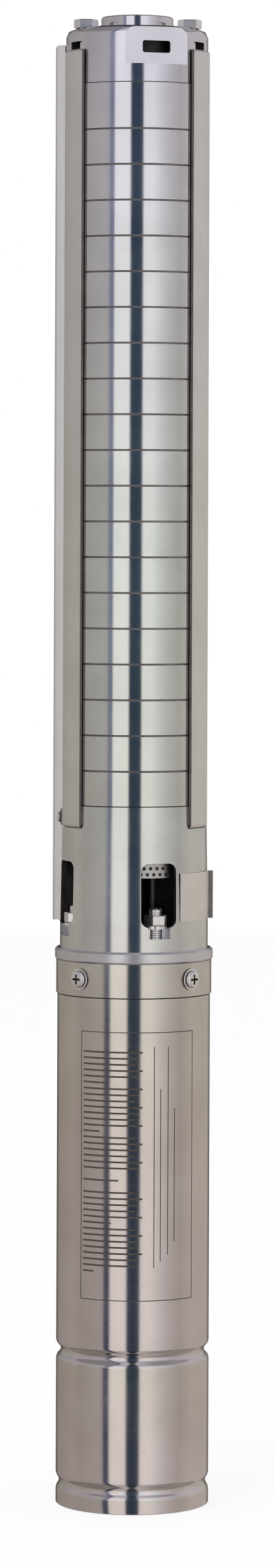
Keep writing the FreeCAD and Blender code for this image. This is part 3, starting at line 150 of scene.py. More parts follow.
# lines round the axis are thin in z and long in x and y; the strip's lines run up it
finishes = {
    # deep-drawn sheet, buffed bright: mirrors the studio with nearly sharp edges
    "drawnStainless": stainless("drawnStainless", {
        "dark": "#d6d5d6", "light": "#dfdedf", "lineGaps": (60, 60, 0.8), "blotch": 30,
        "roughness": (0.07, 0.11), "smear": 0.03, "bump": 0.03}),
    # investment casting, turned and polished: a little softer, faintly lavender
    "castStainless": stainless("castStainless", {
        "dark": "#d6d5d7", "light": "#dfdee1", "lineGaps": (40, 40, 0.9), "blotch": 22,
        "roughness": (0.09, 0.13), "smear": 0.03, "bump": 0.03}),
    # the same casting where it is only turned: satin, its stripes run into each other
    "turnedCasting": stainless("turnedCasting", {
        "dark": "#dad9de", "light": "#e3e2e7", "lineGaps": (40, 40, 0.7), "blotch": 22,
        "roughness": (0.26, 0.32), "smear": 0.04, "bump": 0.05}),
    # bore cut with the pipe thread: its crests catch the light every 2.3 mm
    "cutThread": stainless("cutThread", {
        "dark": "#a9a7aa", "light": "#b9b7ba", "lineGaps": (60, 60, 2.3), "blotch": 12,
        "roughness": (0.25, 0.35), "smear": 0.05, "bump": 0.6}),
    # painted shade: dark and dull, laid where shade falls, on the castings' insides, which keep
    # their pickled skin from the mould, and in gaps, holes and recesses
    "paintedShade": stainless("paintedShade", {
        "dark": "#4b4946", "light": "#605e5a", "lineGaps": (2, 2, 2), "blotch": 9,
        "roughness": (0.55, 0.7), "smear": 0.05, "bump": 0.4}),
    # corner between two rings, where the buffing wheel doesn't reach: dull, and darkened as
    # painted shade in the groove
    "dullJointShade": stainless("dullJointShade", {
        "dark": "#aaa8a6", "light": "#bbb9b7", "lineGaps": (12, 12, 0.5), "blotch": 14,
        "roughness": (0.4, 0.5), "smear": 0.05, "bump": 0.1}),
    # cold-rolled strip, satin: its rolling lines run along it
    "rolledStrip": stainless("rolledStrip", {
        "dark": "#e2e0dd", "light": "#ebe9e6", "lineGaps": (0.8, 0.8, 90), "blotch": 28,
        "roughness": (0.32, 0.40), "smear": 0.05, "bump": 0.08}),
    # edge of the strip where it was sheared: rougher than its faces, and darker as painted shade;
    # the plate's bent lip takes it too
    "shearedEdgeShade": stainless("shearedEdgeShade", {
        "dark": "#8b8783", "light": "#9d9995", "lineGaps": (1, 1, 6), "blotch": 8,
        "roughness": (0.45, 0.6), "smear": 0.05, "bump": 0.3}),
    # welded tube of the motor, buffed round: warmer than the pump end
    "motorTube": stainless("motorTube", {
        "dark": "#d2cdca", "light": "#dbd7d5", "lineGaps": (70, 70, 1.0), "blotch": 36,
        "roughness": (0.09, 0.13), "smear": 0.03, "bump": 0.03}),
    # cold-headed bolts and nuts: bright, with small marks of the tool
    "coldHeaded": stainless("coldHeaded", {
        "dark": "#eceaea", "light": "#f2f0f0", "lineGaps": (9, 9, 2), "blotch": 7,
        "roughness": (0.26, 0.30), "smear": 0.02, "bump": 0.01}),
    # thin plate, etched all over: matt and pale
    "etchedPlate": stainless("etchedPlate", {
        "dark": "#eceae4", "light": "#f4f2ec", "lineGaps": (5, 5, 5), "blotch": 16,
        "roughness": (0.42, 0.5), "smear": 0.05, "bump": 0.05}),
    # pressed sheet inside the pump: plain mill finish
    "pressedSheet": stainless("pressedSheet", {
        "dark": "#bcbbbc", "light": "#cac9ca", "lineGaps": (30, 30, 1.2), "blotch": 15,
        "roughness": (0.28, 0.38), "smear": 0.06, "bump": 0.08}),
    # ground bar: fine lines round the shaft, painted dark as the shade inside the pump
    "shadedGroundBar": stainless("shadedGroundBar", {
        "dark": "#2c2a2b", "light": "#3a3839", "lineGaps": (40, 40, 0.6), "blotch": 20,
        "roughness": (0.22, 0.32), "smear": 0.04, "bump": 0.06}),
    # screen-printing ink: flat, grey-brown
    "printInk": grained("printInk", {
        "dark": "#3b352f", "light": "#4b443d", "grain": 1.5, "metallic": 0,
        "roughness": (0.5, 0.65), "bump": 0.05}),
    # moulded rubber sheath of the lead: dark green-black, slightly waxy
    "leadRubber": grained("leadRubber", {
        "dark": "#16201d", "light": "#22302c", "grain": 1.2, "metallic": 0,
        "roughness": (0.42, 0.58), "bump": 0.15}),
    "sealRubber": grained("sealRubber", {
        "dark": "#121213", "light": "#1c1c1d", "grain": 0.8, "metallic": 0,
        "roughness": (0.5, 0.65), "bump": 0.15}),
    # resin-bonded carbon: dull black with a grey sheen
    "carbonGraphite": grained("carbonGraphite", {
        "dark": "#1b1b1c", "light": "#2b2b2c", "grain": 0.6, "metallic": 0,
        "roughness": (0.35, 0.5), "bump": 0.1}),
    "mouldedComposite": grained("mouldedComposite", {
        "dark": "#202023", "light": "#2d2d31", "grain": 0.7, "metallic": 0,
        "roughness": (0.4, 0.55), "bump": 0.1}),
    # punched sheets in a stack, varnished: dark grey with a metal sheen
    "stackedSteel": grained("stackedSteel", {
        "dark": "#46474a", "light": "#5c5d60", "grain": 1.0, "metallic": 0.8,
        "roughness": (0.4, 0.55), "bump": 0.2}),
    "enamelledCopper": grained("enamelledCopper", {
        "dark": "#7d3f1a", "light": "#a05a2a", "grain": 1.4, "metallic": 0.6,
        "roughness": (0.3, 0.45), "bump": 0.4}),
    # sand-cast grey iron, machined where it fits
    "greyIron": grained("greyIron", {
        "dark": "#4c4c4e", "light": "#626264", "grain": 1.6, "metallic": 0.7,
        "roughness": (0.45, 0.65), "bump": 0.35}),
}
finishOfSlot = {
    "drawn_stainless": "drawnStainless", "cast_stainless": "castStainless",
    "strap_stainless": "rolledStrip", "motor_stainless": "motorTube",
    "fastener_stainless": "coldHeaded", "sheet_stainless": "pressedSheet",
    "bar_stainless": "shadedGroundBar", "lead_rubber": "leadRubber", "seal_rubber": "sealRubber",
    "bearing_carbon": "carbonGraphite", "ring_plastic": "mouldedComposite",
    "lamination_iron": "stackedSteel", "winding_copper": "enamelledCopper",
    "bracket_iron": "greyIron",
}
slotOfNode = {part["node"]: part["material_slot"] for part in frame["record"]["subparts"]}
for nodeName, node in nodes.items():
    node.data.materials.clear()
    node.data.materials.append(finishes[finishOfSlot[slotOfNode[nodeName]]])
print("finishes made:", len(finishes))


# A mesh as a piece of the pump, in the finish of its slot or in another. Each mark is
# a second finish, and the faces that take it: the ranges of their radius and height in
# mm, and of how far they look outwards and upwards, from -1 to 1.
def addPiece(name, mesh, slot, body="casing", stands=(), finish=None, marks=()):
    piece = bpy.data.objects.new(name, mesh)
    bpy.context.scene.collection.objects.link(piece)
    mesh.materials.append(finishes[finish or finishOfSlot[slot]])
    markFinishes = list(dict.fromkeys(markFinish for markFinish, _ in marks))
    for markFinish in markFinishes:
        mesh.materials.append(finishes[markFinish])
    for face in mesh.polygons if marks else ():
        radius = max(face.center.xy.length, nearZero)
        facts = {"radius": radius / mm, "height": face.center.z / mm,
                 "outward": face.normal.xy.dot(face.center.xy) / radius, "upward": face.normal.z}
        for markFinish, ranges in marks:
            if all(low < facts[fact] <= high for fact, (low, high) in ranges.items()):
                face.material_index = 1 + markFinishes.index(markFinish)
                break
    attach(piece, body)
    if stands:
        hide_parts(*stands)
    return piece


# what counts as turned: degrees of a face from square, its least slope and radius in mm
turning = {"sharpAngle": 25, "widest": 9, "leastLevel": 0.2, "leastRadius": 8,
           "upright": 0.001, "flat": 0.9999,
           "shoulderPlay": 0.05, "shoulderEnd": 0.01, "shoulderRise": 0.05}


# Shades a mesh smooth up to the sharp angle. Faces turned about the axis get the
# shading of true rounds, so that the stripes they mirror run straight. So does a
# rounded shoulder, given by the radius and height of its centre and by its size.
def shadeTurned(mesh, look, shoulder=None):
    mesh.shade_smooth()
    mesh.set_sharp_from_angle(angle=math.radians(look["sharpAngle"]))
    count = len(mesh.loops)
    shading = np.empty(count * 3, np.float32)
    mesh.corner_normals.foreach_get("vector", shading)
    shading = shading.reshape(-1, 3)
    corners = np.empty(count, np.int32)
    mesh.loops.foreach_get("vertex_index", corners)
    places = np.empty(len(mesh.vertices) * 3, np.float32)
    mesh.vertices.foreach_get("co", places)
    places = places.reshape(-1, 3)[corners]
    facing = np.empty(len(mesh.polygons) * 3, np.float32)
    mesh.polygons.foreach_get("normal", facing)
    sides = np.empty(len(mesh.polygons), np.int32)
    mesh.polygons.foreach_get("loop_total", sides)
    facing = np.repeat(facing.reshape(-1, 3), sides, axis=0)
    radius = np.maximum(np.hypot(places[:, 0], places[:, 1]), nearZero)
    level = np.maximum(np.hypot(facing[:, 0], facing[:, 1]), nearZero)
    smooth = np.hypot(shading[:, 0], shading[:, 1])
    outward = places[:, :2] / radius[:, None]
    across = (facing[:, :2] * outward).sum(1) / level
    turned = ((np.abs(across) > math.cos(math.radians(look["widest"])))
              & (level > look["leastLevel"]) & (radius > look["leastRadius"] * mm))
    shading[turned, :2] = outward[turned] * (np.sign(across) * smooth)[turned, None]
    shading[turned & (np.abs(facing[:, 2]) < look["upright"]), 2] = 0
    flat = np.abs(facing[:, 2]) > look["flat"]
    shading[flat] = facing[flat]
    if shoulder:
        away = np.stack([radius - shoulder[0] * mm, places[:, 2] - shoulder[1] * mm], axis=1)
        size = np.hypot(away[:, 0], away[:, 1])
        rounded = ((np.abs(size - shoulder[2] * mm) < look["shoulderPlay"] * mm) & ~flat
                   & (away.min(axis=1) > -look["shoulderEnd"] * mm)
                   & (facing[:, 2] > look["shoulderRise"]))
        shading[rounded, :2] = outward[rounded] * (away[:, 0] / size)[rounded, None]
        shading[rounded, 2] = (away[:, 1] / size)[rounded]
    shading /= np.linalg.norm(shading, axis=1, keepdims=True)
    mesh.normals_split_custom_set(shading.tolist())


# a CAD node's copy, merged and shaded as turned metal
def polishedCopy(name, nodeName, shoulder=None, finish=None, marks=()):
    shape = bmesh.new()
    shape.from_mesh(nodes[nodeName].data)
    bmesh.ops.remove_doubles(shape, verts=shape.verts, dist=merging)
    mesh = bpy.data.meshes.new(name)
    shape.to_mesh(mesh)
    shape.free()
    mesh.attributes.remove(mesh.attributes["custom_normal"])        # the loose triangles' own
    shadeTurned(mesh, turning, shoulder)
    return addPiece(name, mesh, slotOfNode[nodeName], "casing", [nodeName], finish, marks)


# Spinning leaves edges and faces in any order. This puts them in that of their corners,
# so that every run gives the same mesh.
def settleOrder(shape):
    shape.verts.index_update()
    for parts in (shape.edges, shape.faces):
        ordered = sorted(parts, key=lambda part: sorted(v.index for v in part.verts))
        rank = {part: i for i, part in enumerate(ordered)}
        parts.sort(key=rank.get)


# a profile of (radius, height) in mm, its corners rounded, spun about the axis
def spun(profile, rounding, steps=192):
    shape = bmesh.new()
    corners = [shape.verts.new((r * mm, 0, z * mm)) for r, z in profile]
    for i, corner in enumerate(corners):
        shape.edges.new((corners[i - 1], corner))
    for radius, picked in rounding:
        near = [v for v in shape.verts if any(
            abs(v.co.x - r * mm) + abs(v.co.z - z * mm) < merging
            for r, z in (profile[i] for i in picked))]
        bmesh.ops.bevel(shape, geom=near, offset=radius * mm, offset_type="OFFSET", segments=4,
                        profile=0.5, affect="VERTICES", material=-1)
    bmesh.ops.spin(shape, geom=shape.verts[:] + shape.edges[:], cent=(0, 0, 0), axis=(0, 0, 1),
                   angle=math.tau, steps=steps, use_merge=True)
    bmesh.ops.remove_doubles(shape, verts=shape.verts, dist=merging)
    settleOrder(shape)
    bmesh.ops.recalc_face_normals(shape, faces=shape.faces)
    return shape


def meshOf(shape, name, sharpAngle=40):
    mesh = bpy.data.meshes.new(name)
    shape.to_mesh(mesh)
    shape.free()
    mesh.shade_smooth()
    mesh.set_sharp_from_angle(angle=math.radians(sharpAngle))
    return mesh


# copies of a mesh, each moved by a matrix, as one mesh
def placed(mesh, places, name, sharpAngle=40):
    shape = bmesh.new()
    for place in places:
        copy = mesh.copy()
        copy.transform(place)
        shape.from_mesh(copy)
        bpy.data.meshes.remove(copy)
    return meshOf(shape, name, sharpAngle)


# upright at a radius and height, turned about the pump from the front (-Y) towards +X
def roundPump(angle, radius, height):
    return (Matrix.Rotation(math.radians(angle - 90), 4, "Z")
            @ Matrix.Translation((radius * mm, 0, height * mm)))


facingOut = Matrix.Rotation(math.pi / 2, 4, "Y")


# a mesh less another one
def cut(mesh, cutter):
    target = bpy.data.objects.new("cutTarget", mesh)
    tool = bpy.data.objects.new("cutTool", cutter)
    for thing in (target, tool):
        bpy.context.scene.collection.objects.link(thing)
    modifier = target.modifiers.new("cut", "BOOLEAN")
    modifier.object, modifier.solver = tool, "EXACT"
    result = bpy.data.meshes.new_from_object(
        target.evaluated_get(bpy.context.evaluated_depsgraph_get()))
    for thing in (target, tool):
        bpy.data.objects.remove(thing)
    return result


# hexagon bar from z = 0 up, with its corners turned off at the top, or at both ends
def hexagonHead(flats, height, chamfer, bothEnds=False):
    shape = bmesh.new()
    radius = flats / math.sqrt(3) * mm
    bmesh.ops.create_cone(shape, cap_ends=True, segments=6, radius1=radius, radius2=radius,
                          depth=height * mm, matrix=Matrix.Translation((0, 0, height / 2 * mm)))
    rims = [e for e in shape.edges if abs(e.verts[0].co.z - e.verts[1].co.z) < merging
            and (bothEnds or e.verts[0].co.z > height / 2 * mm)]
    bmesh.ops.bevel(shape, geom=rims, offset=chamfer * mm, offset_type="OFFSET", segments=2,
                    profile=0.5, affect="EDGES", material=-1)
    return meshOf(shape, "hexagonHead", 25)


motorShell = {
    "radius": 47.5, "wall": 1.5, "low": 0.5, "high": 338.5,
    "beads": ((14.2, 4.2, 2.0), (96.0, 4.4, 3.0)),      # height, half width, depth
    "gap": (317.2, 318.2, 0.35),                        # low, high, depth under the sleeve
    "beadFloor": 0.3, "beadRound": 1.5, "edgeRound": 0.5, "markPlay": 0.05,
}


def makeMotorShell(look):
    outer, inner = look["radius"], look["radius"] - look["wall"]
    outside = [(outer, look["low"])]
    inside = [(inner, look["low"])]
    for height, half, depth in look["beads"]:
        floor = half * look["beadFloor"]
        for radius, side in ((outer, outside), (inner, inside)):
            side += [(radius, height - half), (radius - depth, height - floor),
                     (radius - depth, height + floor), (radius, height + half)]
    beadCorners = range(1, len(outside))
    low, high, depth = look["gap"]
    outside += [(outer, low), (outer - depth, low), (outer - depth, high), (outer, high),
                (outer, look["high"])]
    inside.append((inner, look["high"]))
    shape = spun(outside + inside[::-1], [(look["beadRound"], beadCorners),
                                          (look["edgeRound"], (0, len(outside) - 1))])
    # the groove under the sleeve takes painted shade, the shade in the gap
    play = look["markPlay"]
    gapMark = {"height": (low - play, high + play), "radius": (inner + play, outer - play)}
    addPiece("motorShell", meshOf(shape, "motorShell"), "motor_stainless", stands=["motor_shell"],
             marks=[("paintedShade", gapMark)])


makeMotorShell(motorShell)


# The panel printed on the motor: a border with plain ruled lines. All in mm and in
# degrees round the motor.
printedPanel = {
    "radius": 47.54, "left": -42.5, "right": 50, "low": 131.7, "high": 296.5, "line": 0.55,
    "rows": 37, "rowPitch": 3.75, "rowTop": 284, "rowLine": 1.1, "rowLeft": -40, "rowRight": 7,
    "ragged": (0, 0.06, 0.12), "stepDegrees": 2,
    "shortRows": {5: 0.45, 13: 0.3, 20: 0.0, 21: 0.62, 22: 0.0, 28: 0.5, 36: 0.2},
    "uprights": ((15.5, 152, 288), (20.5, 156, 262), (26.5, 160, 288), (32.0, 168, 250)),
}


def makePrintedPanel(look):
    shape = bmesh.new()

    def strip(first, last, low, high):
        ends = [shape.verts.new(roundPump(first, look["radius"], z).translation)
                for z in (low, high)]
        edge = shape.edges.new(ends)
        bmesh.ops.spin(shape, geom=[*ends, edge], cent=(0, 0, 0), axis=(0, 0, 1),
                       angle=math.radians(last - first),
                       steps=max(1, round((last - first) / look["stepDegrees"])))

    thin = math.degrees(look["line"] / look["radius"])
    for height in (look["low"], look["high"]):
        strip(look["left"], look["right"], height, height + look["line"])
    for angle in (look["left"], look["right"] - thin):
        strip(angle, angle + thin, look["low"], look["high"])
    for row in range(look["rows"]):
        share = look["shortRows"].get(row, 1 - look["ragged"][row % 3])
        if share:
            height = look["rowTop"] - row * look["rowPitch"]
            last = look["rowLeft"] + (look["rowRight"] - look["rowLeft"]) * share
            strip(look["rowLeft"], last, height, height + look["rowLine"])
    for angle, low, high in look["uprights"]:
        strip(angle, angle + thin, low, high)
    bmesh.ops.recalc_face_normals(shape, faces=shape.faces)
    for face in shape.faces:
        if face.normal.xy.dot(face.calc_center_median().xy) < 0:
            face.normal_flip()
    addPiece("printedPanel", meshOf(shape, "printedPanel"), "motor_stainless", finish="printInk")


makePrintedPanel(printedPanel)
print("motor shell and its panel made")


# painted shade on the bevels between the rings, on the cut edges of the strip, and on the plate's
# bent lip
jointMarks = [("dullJointShade", {"upward": (0.3, 1.1), "radius": (43.3, 50)}),
              ("dullJointShade", {"upward": (-1.1, -0.3), "radius": (43.3, 50)})]
edgeMarks = [("shearedEdgeShade", {"outward": (-0.4, 0.4)})]
lipMarks = [("shearedEdgeShade", {"radius": (46.95, 50)})]
# the outlet's bore; painted shade in the slots in the head's wall and on the head's inside
headMarks = [("cutThread", {"radius": (0, 20.5), "height": (908.9, 924.5)}),
             ("paintedShade", {"outward": (-1.1, 0.35), "upward": (-1.1, 0.5), "radius": (0, 44.1),
                           "height": (880, 914)}),
             ("paintedShade", {"radius": (0, 38.4), "height": (880, 916.5)})]
# painted shade on the lantern's inside and on the walls of its windows; the recesses below them
# satin
lanternMarks = [("paintedShade", {"radius": (0, 39.5)}),
                ("paintedShade", {"outward": (-1.1, 0.5), "height": (361.2, 440)}),
                ("turnedCasting", {"outward": (-1.1, 0.5), "height": (350, 361.2)}),
                ("turnedCasting", {"radius": (0, 43), "height": (350, 361.2)})]
polishedCopy("headCasting", "discharge_head", shoulder=(39.2, 912, 5), marks=headMarks)
polishedCopy("topChamber", "top_chamber", marks=jointMarks)
polishedCopy("stageStack", "stage_chambers", marks=jointMarks)
polishedCopy("suctionLantern", "suction_lantern", marks=lanternMarks)
polishedCopy("motorFlange", "motor_flange", finish="turnedCasting")
polishedCopy("flangeSleeve", "flange_sleeve")
polishedCopy("footCap", "base_cap")
polishedCopy("dataPlate", "data_plate", finish="etchedPlate", marks=lipMarks)
polishedCopy("cableGuard", "cable_guard")
for name, nodeName in (("strapFrontLeft", "strap_front_left"),
                       ("strapFrontRight", "strap_front_right"), ("strapRear", "strap_rear")):
    polishedCopy(name, nodeName, marks=edgeMarks)


# pipe thread in the outlet
outletThread = {"bore": 19.45, "depth": 0.75, "low": 909.2, "pitch": 2.309, "turns": 6,
                "flanks": (0.42, 0.58), "wall": 0.2}


def makeOutletThread(look):
    bore, low, pitch = look["bore"], look["low"], look["pitch"]
    profile = [(bore, low)]
    for turn in range(look["turns"]):
        profile += [(bore - look["depth"], low + (turn + flank) * pitch)
                    for flank in look["flanks"]]
        profile.append((bore, low + (turn + 1) * pitch))
    profile += [(bore + look["wall"], profile[-1][1]), (bore + look["wall"], low)]
    addPiece("outletThread", meshOf(spun(profile, [], 128), "outletThread", 20),
             slotOfNode["discharge_head"], finish="cutThread")


makeOutletThread(outletThread)


def makeValveSpring():
    spring = polishedCopy("valveSpring", "valve_spring")
    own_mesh(spring)


makeValveSpring()

# sheet cup seen through the windows; its punched holes are dark discs on it, painted shade where
# the holes would show the dark inside
strainerHoles = {"radius": 38.04, "hole": 1.15, "pitch": 4.1, "rows": 6, "low": 393.2,
                 "rowPitch": 3.75}


def makeStrainer(look):
    polishedCopy("strainerCup", "strainer")
    shape = bmesh.new()
    bmesh.ops.create_circle(shape, cap_ends=True, segments=10, radius=look["hole"] * mm)
    hole = meshOf(shape, "holeShadeDisc")
    count = round(math.tau * look["radius"] / look["pitch"])
    places = [roundPump((i + row % 2 / 2) * 360 / count, look["radius"],
                        look["low"] + row * look["rowPitch"]) @ facingOut
              for row in range(look["rows"]) for i in range(count)]
    # the holes: dark discs of painted shade
    addPiece("strainerHoles", placed(hole, places, "strainerHoles"), "sheet_stainless",
             finish="paintedShade")


makeStrainer(strainerHoles)

strapBolts = {"flats": 13, "head": 5.3, "chamfer": 0.7, "shank": 4, "length": 22, "circle": 37,
              "seat": 916.6, "angles": (-59, 61, 181)}


def makeStrapBolts(look):
    head = hexagonHead(look["flats"], look["head"], look["chamfer"])
    shape = bmesh.new()
    shape.from_mesh(head)
    bmesh.ops.create_cone(shape, cap_ends=True, segments=32, radius1=look["shank"] * mm,
                          radius2=look["shank"] * mm, depth=look["length"] * mm,
                          matrix=Matrix.Translation((0, 0, -look["length"] / 2 * mm)))
    places = [roundPump(angle, look["circle"], look["seat"]) for angle in look["angles"]]
    addPiece("strapBolts", placed(meshOf(shape, "bolt", 25), places, "strapBolts", 25),
             "fastener_stainless", stands=["strap_bolts"])


makeStrapBolts(strapBolts)

studsAndNuts = {"angles": (20, 110, 200, 290), "circle": 38.1, "studRadius": 4, "pitch": 1.25,
                "threadDepth": 0.45, "crest": 0.3, "low": 333, "high": 372.5, "tip": 0.8,
                "flats": 13, "nutLow": 361.9, "nutHeight": 6.5, "chamfer": 0.8}


def makeStudsAndNuts(look):
    radius, low, high, pitch = look["studRadius"], look["low"], look["high"], look["pitch"]
    profile = [(0, low), (radius, low)]
    for turn in range(int((high - look["tip"] - low) / pitch)):
        start = low + turn * pitch
        profile += [(radius, start + look["crest"]),
                    (radius - look["threadDepth"], start + pitch / 2),
                    (radius, start + pitch - look["crest"])]
    profile += [(radius, high - look["tip"]), (radius - look["tip"], high), (0, high)]
    stud = meshOf(spun(profile, [], 24), "stud")
    nut = hexagonHead(look["flats"], look["nutHeight"], look["chamfer"], True)
    addPiece("motorStuds", placed(stud, [roundPump(a, look["circle"], 0) for a in look["angles"]],
                                  "motorStuds"), "fastener_stainless", stands=["motor_studs"])
    places = [roundPump(a, look["circle"], look["nutLow"]) for a in look["angles"]]
    addPiece("motorNuts", placed(nut, places, "motorNuts", 25), "fastener_stainless",
             stands=["motor_nuts"])


makeStudsAndNuts(studsAndNuts)

# pan-head screws, each with its washer and a cross recess: (radius, height) of a profile
sleeveScrews = {"profile": ((0, -9), (2.5, -9), (2.5, 0), (6.8, 0), (6.8, 1.0), (5.4, 1.0),
                            (5.4, 2.0), (4.4, 3.0), (2.4, 3.4), (0, 3.4)),
                "rounds": ((0.3, (3, 4)), (0.5, (6, 7, 8))),
                "cross": (1.3, 6.2), "crossDepth": 1.7,
                "places": [(46.5 + 90 * k, 48.3, 328.6) for k in range(4)]}
guardScrews = {"profile": ((0, -4.5), (2, -4.5), (2, 0), (3.4, 0), (3.4, 0.6), (2.7, 1.5),
                           (0, 1.8)),
               "rounds": ((0.3, (4, 5)),), "cross": (0.8, 3.6), "crossDepth": 0.9,
               "places": [(-105 + side * 18.6, 46.2, 427) for side in (-1, 1)]}
# which faces of a screw take painted shade: the cross's floor and walls, and the rims of head and
# washer
screwShade = {"floorPlay": 0.05, "wallTilt": 0.2, "rimTilt": 0.3}


def makeScrews(name, nodeName, look):
    top = look["profile"][-1][1]
    mesh = meshOf(spun(look["profile"], look["rounds"], 32), name)
    width, length = look["cross"]
    for size in ((width, length), (length, width)):
        shape = bmesh.new()
        bmesh.ops.create_cube(shape, size=1)
        bmesh.ops.scale(shape, vec=(size[0] * mm, size[1] * mm, 2 * look["crossDepth"] * mm),
                        verts=shape.verts)
        bmesh.ops.translate(shape, vec=(0, 0, top * mm), verts=shape.verts)
        mesh = cut(mesh, meshOf(shape, "crossCutter"))
    # the cross's recess and the rims of head and washer take the painted shade
    for face in mesh.polygons:
        middle = face.center / mm
        depth = (top - middle.z) / look["crossDepth"]
        tilt = abs(face.normal.z)
        floor = abs(depth - 1) < screwShade["floorPlay"]
        wall = depth < 1 + screwShade["floorPlay"] and tilt < screwShade["wallTilt"]
        recess = middle.xy.length < length / 2 and (floor or wall)
        rim = middle.z > 0 and tilt < screwShade["rimTilt"]
        face.material_index = 1 if recess or rim else 0
    places = [roundPump(*place) @ facingOut for place in look["places"]]
    piece = addPiece(name, placed(mesh, places, name), "fastener_stainless", stands=[nodeName])
    piece.data.materials.append(finishes["paintedShade"])


makeScrews("sleeveScrews", "sleeve_screws", sleeveScrews)
makeScrews("guardScrews", "guard_screws", guardScrews)


stage = {
    "floorSize": 9.0, "floorWhite": "#ffffff", "floorShade": 0.18, "facets": 96,
    "surroundRadius": 4.0, "surroundLow": -2.6, "surroundHigh": 3.2, "surroundStrength": 1.22,
    "endStrength": 0.75,
    # what stands round the pump, by degrees from the camera, as its steel mirrors it
    "surround": ((-180, "#3c3b3a"), (-160, "#6f6d69"), (-148, "#9f9d98"), (-104, "#b0aea9"),
                 (-84, "#aaa8a4"), (-50, "#b4b3b0"), (-44.5, "#abacae"), (-42.5, "#80859a"),
                 (-36.5, "#80859a"), (-35, "#f3f5f2"), (-10.5, "#f7f8f5"), (-8.5, "#344252"),
                 (9.5, "#3a4858"), (11.5, "#f3f5f2"), (27, "#f1f3f0"), (41, "#d8dbd9"),
                 (54, "#c8c8c6"), (74, "#b6b5b1"), (100, "#c6c4bf"), (148, "#bfbdb8"),
                 (162, "#787570"), (180, "#3c3b3a")),
    # a dark panel that stands beside the pump only as high as its motor
    "lowPanel": ((-46, "#ffffff"), (-43.5, "#9a9eaa"), (-35.8, "#9a9eaa"), (-34.6, "#ffffff")),
    "lowPanelTop": (0.06, -0.02),
    # tint of the screen by height in metres: warm near the floor, lavender high up
    "tints": ((-0.8, "#ece1e2"), (-0.3, "#e8dfda"), (0.1, "#eeebe5"), (0.5, "#edf0ea"),
              (0.9, "#f1f1f3"), (1.25, "#f4effb")),
    "worldLight": 0.85,
    "softbox": {"size": 1.6, "power": 26, "place": (-1.3, -1.9, 2.6), "aim": (0, 0, 0.5)},
}


def makeFloor(look):
    shape = bmesh.new()
    bmesh.ops.create_grid(shape, x_segments=1, y_segments=1, size=look["floorSize"] / 2)
    floor = bpy.data.objects.new("paleFloor", meshOf(shape, "paleFloor"))
    bpy.context.scene.collection.objects.link(floor)
    material, tree = newMaterial("paleFloor")
    path = addNode(tree, "ShaderNodeLightPath")
    share = addNode(tree, "ShaderNodeMath", {1: 1 - look["floorShade"]},
                    {0: path.outputs["Is Camera Ray"]}, operation="MULTIPLY")
    paper = addNode(tree, "ShaderNodeBsdfDiffuse", {"Color": linear(look["floorWhite"])})
    white = addNode(tree, "ShaderNodeEmission", {"Color": (1, 1, 1, 1), "Strength": 1})
    surface(tree, addNode(tree, "ShaderNodeMixShader", links={
        0: share.outputs[0], 1: paper.outputs[0], 2: white.outputs[0]}))
    floor.data.materials.append(material)
    floor.visible_glossy = False


# A tall round screen, painted in panels, that only the steel sees. Its ends are closed
# and dimmer, so that bevels don't flash. Sockets 6 and 7 of a mix are its two colours.
def makeSurround(look):
    radius, low, high = look["surroundRadius"], look["surroundLow"], look["surroundHigh"]
    wall = bmesh.new()
    edge = [wall.verts.new((radius, 0, z)) for z in (low, high)]
    wall.edges.new(edge)
    bmesh.ops.spin(wall, geom=wall.verts[:] + wall.edges[:], cent=(0, 0, 0), axis=(0, 0, 1),
                   angle=math.tau, steps=look["facets"], use_merge=True)
    settleOrder(wall)
    ends = bmesh.new()
    for z in (low, high):
        bmesh.ops.create_circle(ends, cap_ends=True, segments=look["facets"], radius=radius,
                                matrix=Matrix.Translation((0, 0, z)))
    for name, shape, strength in (("studioScreen", wall, look["surroundStrength"]),
                                  ("screenEnds", ends, look["endStrength"])):
        screen = bpy.data.objects.new(name, meshOf(shape, name))
        bpy.context.scene.collection.objects.link(screen)
        material, tree = newMaterial(name)
        place = addNode(tree, "ShaderNodeTexCoord")
        turn = addNode(tree, "ShaderNodeMapping", {"Rotation": (0, 0, math.pi / 2)},
                       {"Vector": place.outputs["Object"]})
        azimuth = addNode(tree, "ShaderNodeTexGradient", links={"Vector": turn.outputs[0]},
                          gradient_type="RADIAL")
        panels = addNode(tree, "ShaderNodeValToRGB", links={"Fac": azimuth.outputs["Fac"]})
        setStops(panels, [(0.5 + degrees / 360, colour) for degrees, colour in look["surround"]])
        height = addNode(tree, "ShaderNodeSeparateXYZ", links={"Vector": place.outputs["Object"]})
        share = addNode(tree, "ShaderNodeMapRange",
                        {"From Min": look["tints"][0][0], "From Max": look["tints"][-1][0]},
                        {"Value": height.outputs["Z"]})
        tint = addNode(tree, "ShaderNodeValToRGB", links={"Fac": share.outputs[0]})
        span = look["tints"][-1][0] - look["tints"][0][0]
        setStops(tint, [((z - look["tints"][0][0]) / span, colour) for z, colour in look["tints"]])
        warm = addNode(tree, "ShaderNodeMix", {0: 1},
                       {6: panels.outputs["Color"], 7: tint.outputs["Color"]},
                       data_type="RGBA", blend_type="MULTIPLY")
        lowPanel = addNode(tree, "ShaderNodeValToRGB", links={"Fac": azimuth.outputs["Fac"]})
        setStops(lowPanel, [(0.5 + degrees / 360, colour) for degrees, colour in look["lowPanel"]])
        below = addNode(tree, "ShaderNodeMapRange", {"From Min": look["lowPanelTop"][0],
                                                     "From Max": look["lowPanelTop"][1]},
                        {"Value": height.outputs["Z"]})
        painted = addNode(tree, "ShaderNodeMix", links={
            0: below.outputs[0], 6: warm.outputs[2], 7: lowPanel.outputs["Color"]},
            data_type="RGBA", blend_type="MULTIPLY")
        surface(tree, addNode(tree, "ShaderNodeEmission", {"Strength": strength},
                              {"Color": painted.outputs[2]}))
        screen.data.materials.append(material)
        screen.visible_camera = False
        screen.visible_diffuse = False
        screen.visible_shadow = False
        screen.visible_transmission = False


